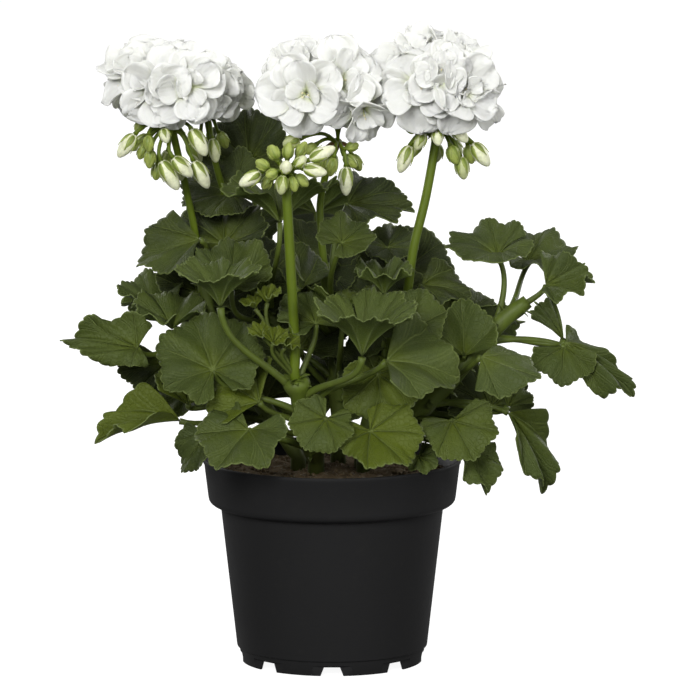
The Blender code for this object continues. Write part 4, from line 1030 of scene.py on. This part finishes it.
def addPetal(shape, base, out, lift, length, width, rise, bend, roll, seed):
    petalMap = shape.loops.layers.uv.get("petal") or shape.loops.layers.uv.new("petal")
    side = out.cross(lift)
    sheet = bmesh.ops.create_grid(shape, x_segments=12, y_segments=12, size=1.0)["verts"]
    for face in dict.fromkeys(face for spot in sheet for face in spot.link_faces):
        for loop in face.loops:
            loop[petalMap].uv = (loop.vert.co.x / 2 + 0.5, (loop.vert.co.y + 1) / 2)
    for spot in sheet:
        across, along = spot.co.x, ((spot.co.y + 1) / 2)
        along = 1 - (1 - along)**1.5
        if along < 0.62:
            half = 0.15 + 0.85 * math.sin(math.pi / 2 * along / 0.62)**1.2
        else:
            half = math.sqrt(max(1 - ((along - 0.62) / 0.38)**2, 0.0004))
        turn = rise + bend * along
        far = (math.sin(turn) - math.sin(rise)) / bend
        high = (math.cos(rise) - math.cos(turn)) / bend
        place = Vector((across * half * 1.4, along * 1.8, seed * 5.3))
        wave = noise.noise(Vector((across * 2.6, 0.0, seed * 2.1)))
        far *= 1 + (0.10 * wave - 0.05 * (1 - across**2)) * along**3
        high += 0.20 * (half * across)**2 + 0.20 * noise.noise(place) * along
        high += 0.10 * noise.noise(place * 2.3) * along**2 + roll * across * half * along
        spot.co = base + length * (far * out + high * lift) + side * (across * half * width)


def addFloret(petals, greens, stamens, centre, facing, seed, size=1.0):
    dice = random.Random(seed)
    outward = Vector(facing).normalized()
    basis = outward.to_track_quat("Z", "Y")
    base = centre - outward * 4 * mm
    begin = dice.uniform(0, 2 * math.pi)
    length, width = floretLook["length"] * size * mm, floretLook["width"] * size * mm
    for ring, count, reach, rise in floretLook["rings"]:
        for number in range(count):
            around = begin + ring * 0.6 + 2 * math.pi * (number + dice.uniform(-0.16, 0.16)) / count
            out = basis @ spoke(around)
            addPetal(petals, base + out * 0.8 * mm, out, outward, length * reach * dice.uniform(0.86, 1.1),
                     width * (reach + 0.08) * dice.uniform(0.84, 1.08), rise + dice.uniform(-0.3, 0.25),
                     -0.6 + dice.uniform(-0.45, 0.35), dice.uniform(-0.3, 0.3), seed * 17 + number + ring * 9)
    for around in turns(floretLook["sepals"], begin + 0.6):
        out = basis @ spoke(around)
        heading = (out * 0.9 + outward * 0.35).normalized()
        lift = (outward - heading * outward.dot(heading)).normalized()
        addBract(greens, base - outward * 1.6 * mm, heading, -lift, floretLook["sepalLength"] * mm,
                 floretLook["sepalWidth"] * mm)
    tip = vertLayer(stamens, "tip")
    thin = floretLook["stamenRadius"] * mm
    for _ in range(floretLook["stamens"]):
        around = dice.uniform(0, 2 * math.pi)
        lean = outward + (basis @ spoke(around)) * 0.3
        top = base + lean.normalized() * dice.uniform(4.5, 6.5) * mm
        addTube(stamens, [base, (base + top) / 2, top], [1.4 * thin, thin, thin], 5)
        anther = bmesh.ops.create_icosphere(stamens, subdivisions=1, radius=floretLook["antherRadius"] * mm,
                                            matrix=Matrix.Translation(top))["verts"]
        for spot in anther:
            spot[tip] = 1.0
    return base - outward * 1.6 * mm


def makeFlowerHead(name, number):
    hub = plantPoint(flowerStalks[name]["route"][-1])
    petals, greens, stamens = bmesh.new(), bmesh.new(), bmesh.new()
    for index, (place, facing, size) in enumerate(flowerHeads[name]):
        outward = Vector(facing).normalized()
        stop = addFloret(petals, greens, stamens, plantPoint(place), facing, number * 40 + index, size)
        span = (stop - hub).length
        line = bezier(hub, hub + up * 0.35 * span, stop - outward * 0.3 * span, stop, 9)
        addTube(greens, line, [floretLook["pedicel"] * mm] * 8 + [1.0 * mm, 1.5 * mm], 7)
    for sheet in (petals, greens, stamens):
        bmesh.ops.remove_doubles(sheet, verts=sheet.verts, dist=2e-6)
    bmesh.ops.recalc_face_normals(greens, faces=greens.faces)
    bmesh.ops.recalc_face_normals(stamens, faces=stamens.faces)
    piece = addPiece("petals_" + name, petals, "petal", [petalWhite], ["flower_head_" + name])
    solidified(piece, floretLook["thickness"] * mm, 0.0)
    addPiece("pedicels_and_sepals_" + name, greens, "flower_stalk", [stalkGreen])
    addPiece("stamens_" + name, stamens, "petal", [stamenTint])


for headNumber, headName in enumerate(flowerHeads, 1):
    makeFlowerHead(headName, headNumber)
print("flower heads made")

# floor, light and camera

studio = {
    "target": (0.008, 0.0, 0.1589), "distance": 3.882, "elevation": 8.7, "lens": 400, "sensor": 36,
    "world": 0.23, "floor": (0.25, 0.25, 0.25), "floorGlow": 0.93,
    "lights": [  # name, place, size, watts
        ("keyLight", (-0.6, -2.2, 1.2), 1.0, 54), ("fillLight", (1.4, -1.7, 0.7), 1.0, 16),
        ("topLight", (0.1, 0.1, 1.9), 1.2, 8),
        ("backLeftLight", (-1.7, 1.7, 1.0), 1.3, 34), ("backRightLight", (1.8, 1.6, 0.9), 1.3, 30),
    ],
}


def makeFloor():
    shape = bmesh.new()
    bmesh.ops.create_grid(shape, x_segments=1, y_segments=1, size=8.0)
    mesh = bpy.data.meshes.new("floor")
    shape.to_mesh(mesh)
    shape.free()
    floor = bpy.data.objects.new("floor", mesh)
    scene.collection.objects.link(floor)
    material, _, shader = newMaterial("paleFloor")
    look = {"Base Color": (*studio["floor"], 1), "Roughness": 0.8, "Specular IOR Level": 0.1,
            "Emission Color": (1, 1, 1, 1), "Emission Strength": studio["floorGlow"]}
    for name, value in look.items():
        shader.inputs[name].default_value = value
    mesh.materials.append(material)
    floor.visible_diffuse = False  # the plant is lit by the lamps and the sky alone
    floor.visible_glossy = False


def makeLights():
    world = bpy.data.worlds.new("studio")
    world.use_nodes = True
    sky = world.node_tree.nodes["Background"]
    sky.inputs["Color"].default_value = (1, 1, 1, 1)
    sky.inputs["Strength"].default_value = studio["world"]
    scene.world = world
    for name, place, size, watts in studio["lights"]:
        data = bpy.data.lights.new(name, "AREA")
        data.shape = "DISK"
        data.size = size
        data.energy = watts
        lamp = bpy.data.objects.new(name, data)
        lamp.location = place
        aim = Vector(studio["target"]) - Vector(place)
        lamp.rotation_euler = aim.to_track_quat("-Z", "Y").to_euler()
        scene.collection.objects.link(lamp)


def makeCamera():
    data = bpy.data.cameras.new("camera")
    data.lens = studio["lens"]
    data.sensor_width = studio["sensor"]
    data.clip_end = 50
    camera = bpy.data.objects.new("camera", data)
    tilt = math.radians(studio["elevation"])
    away = Vector((0, -math.cos(tilt), math.sin(tilt)))
    camera.location = Vector(studio["target"]) + studio["distance"] * away
    camera.rotation_euler = (math.pi / 2 - tilt, 0, 0)
    scene.collection.objects.link(camera)
    scene.camera = camera


makeFloor()
makeLights()
makeCamera()
scene.view_settings.view_transform = "Standard"
print("studio made")
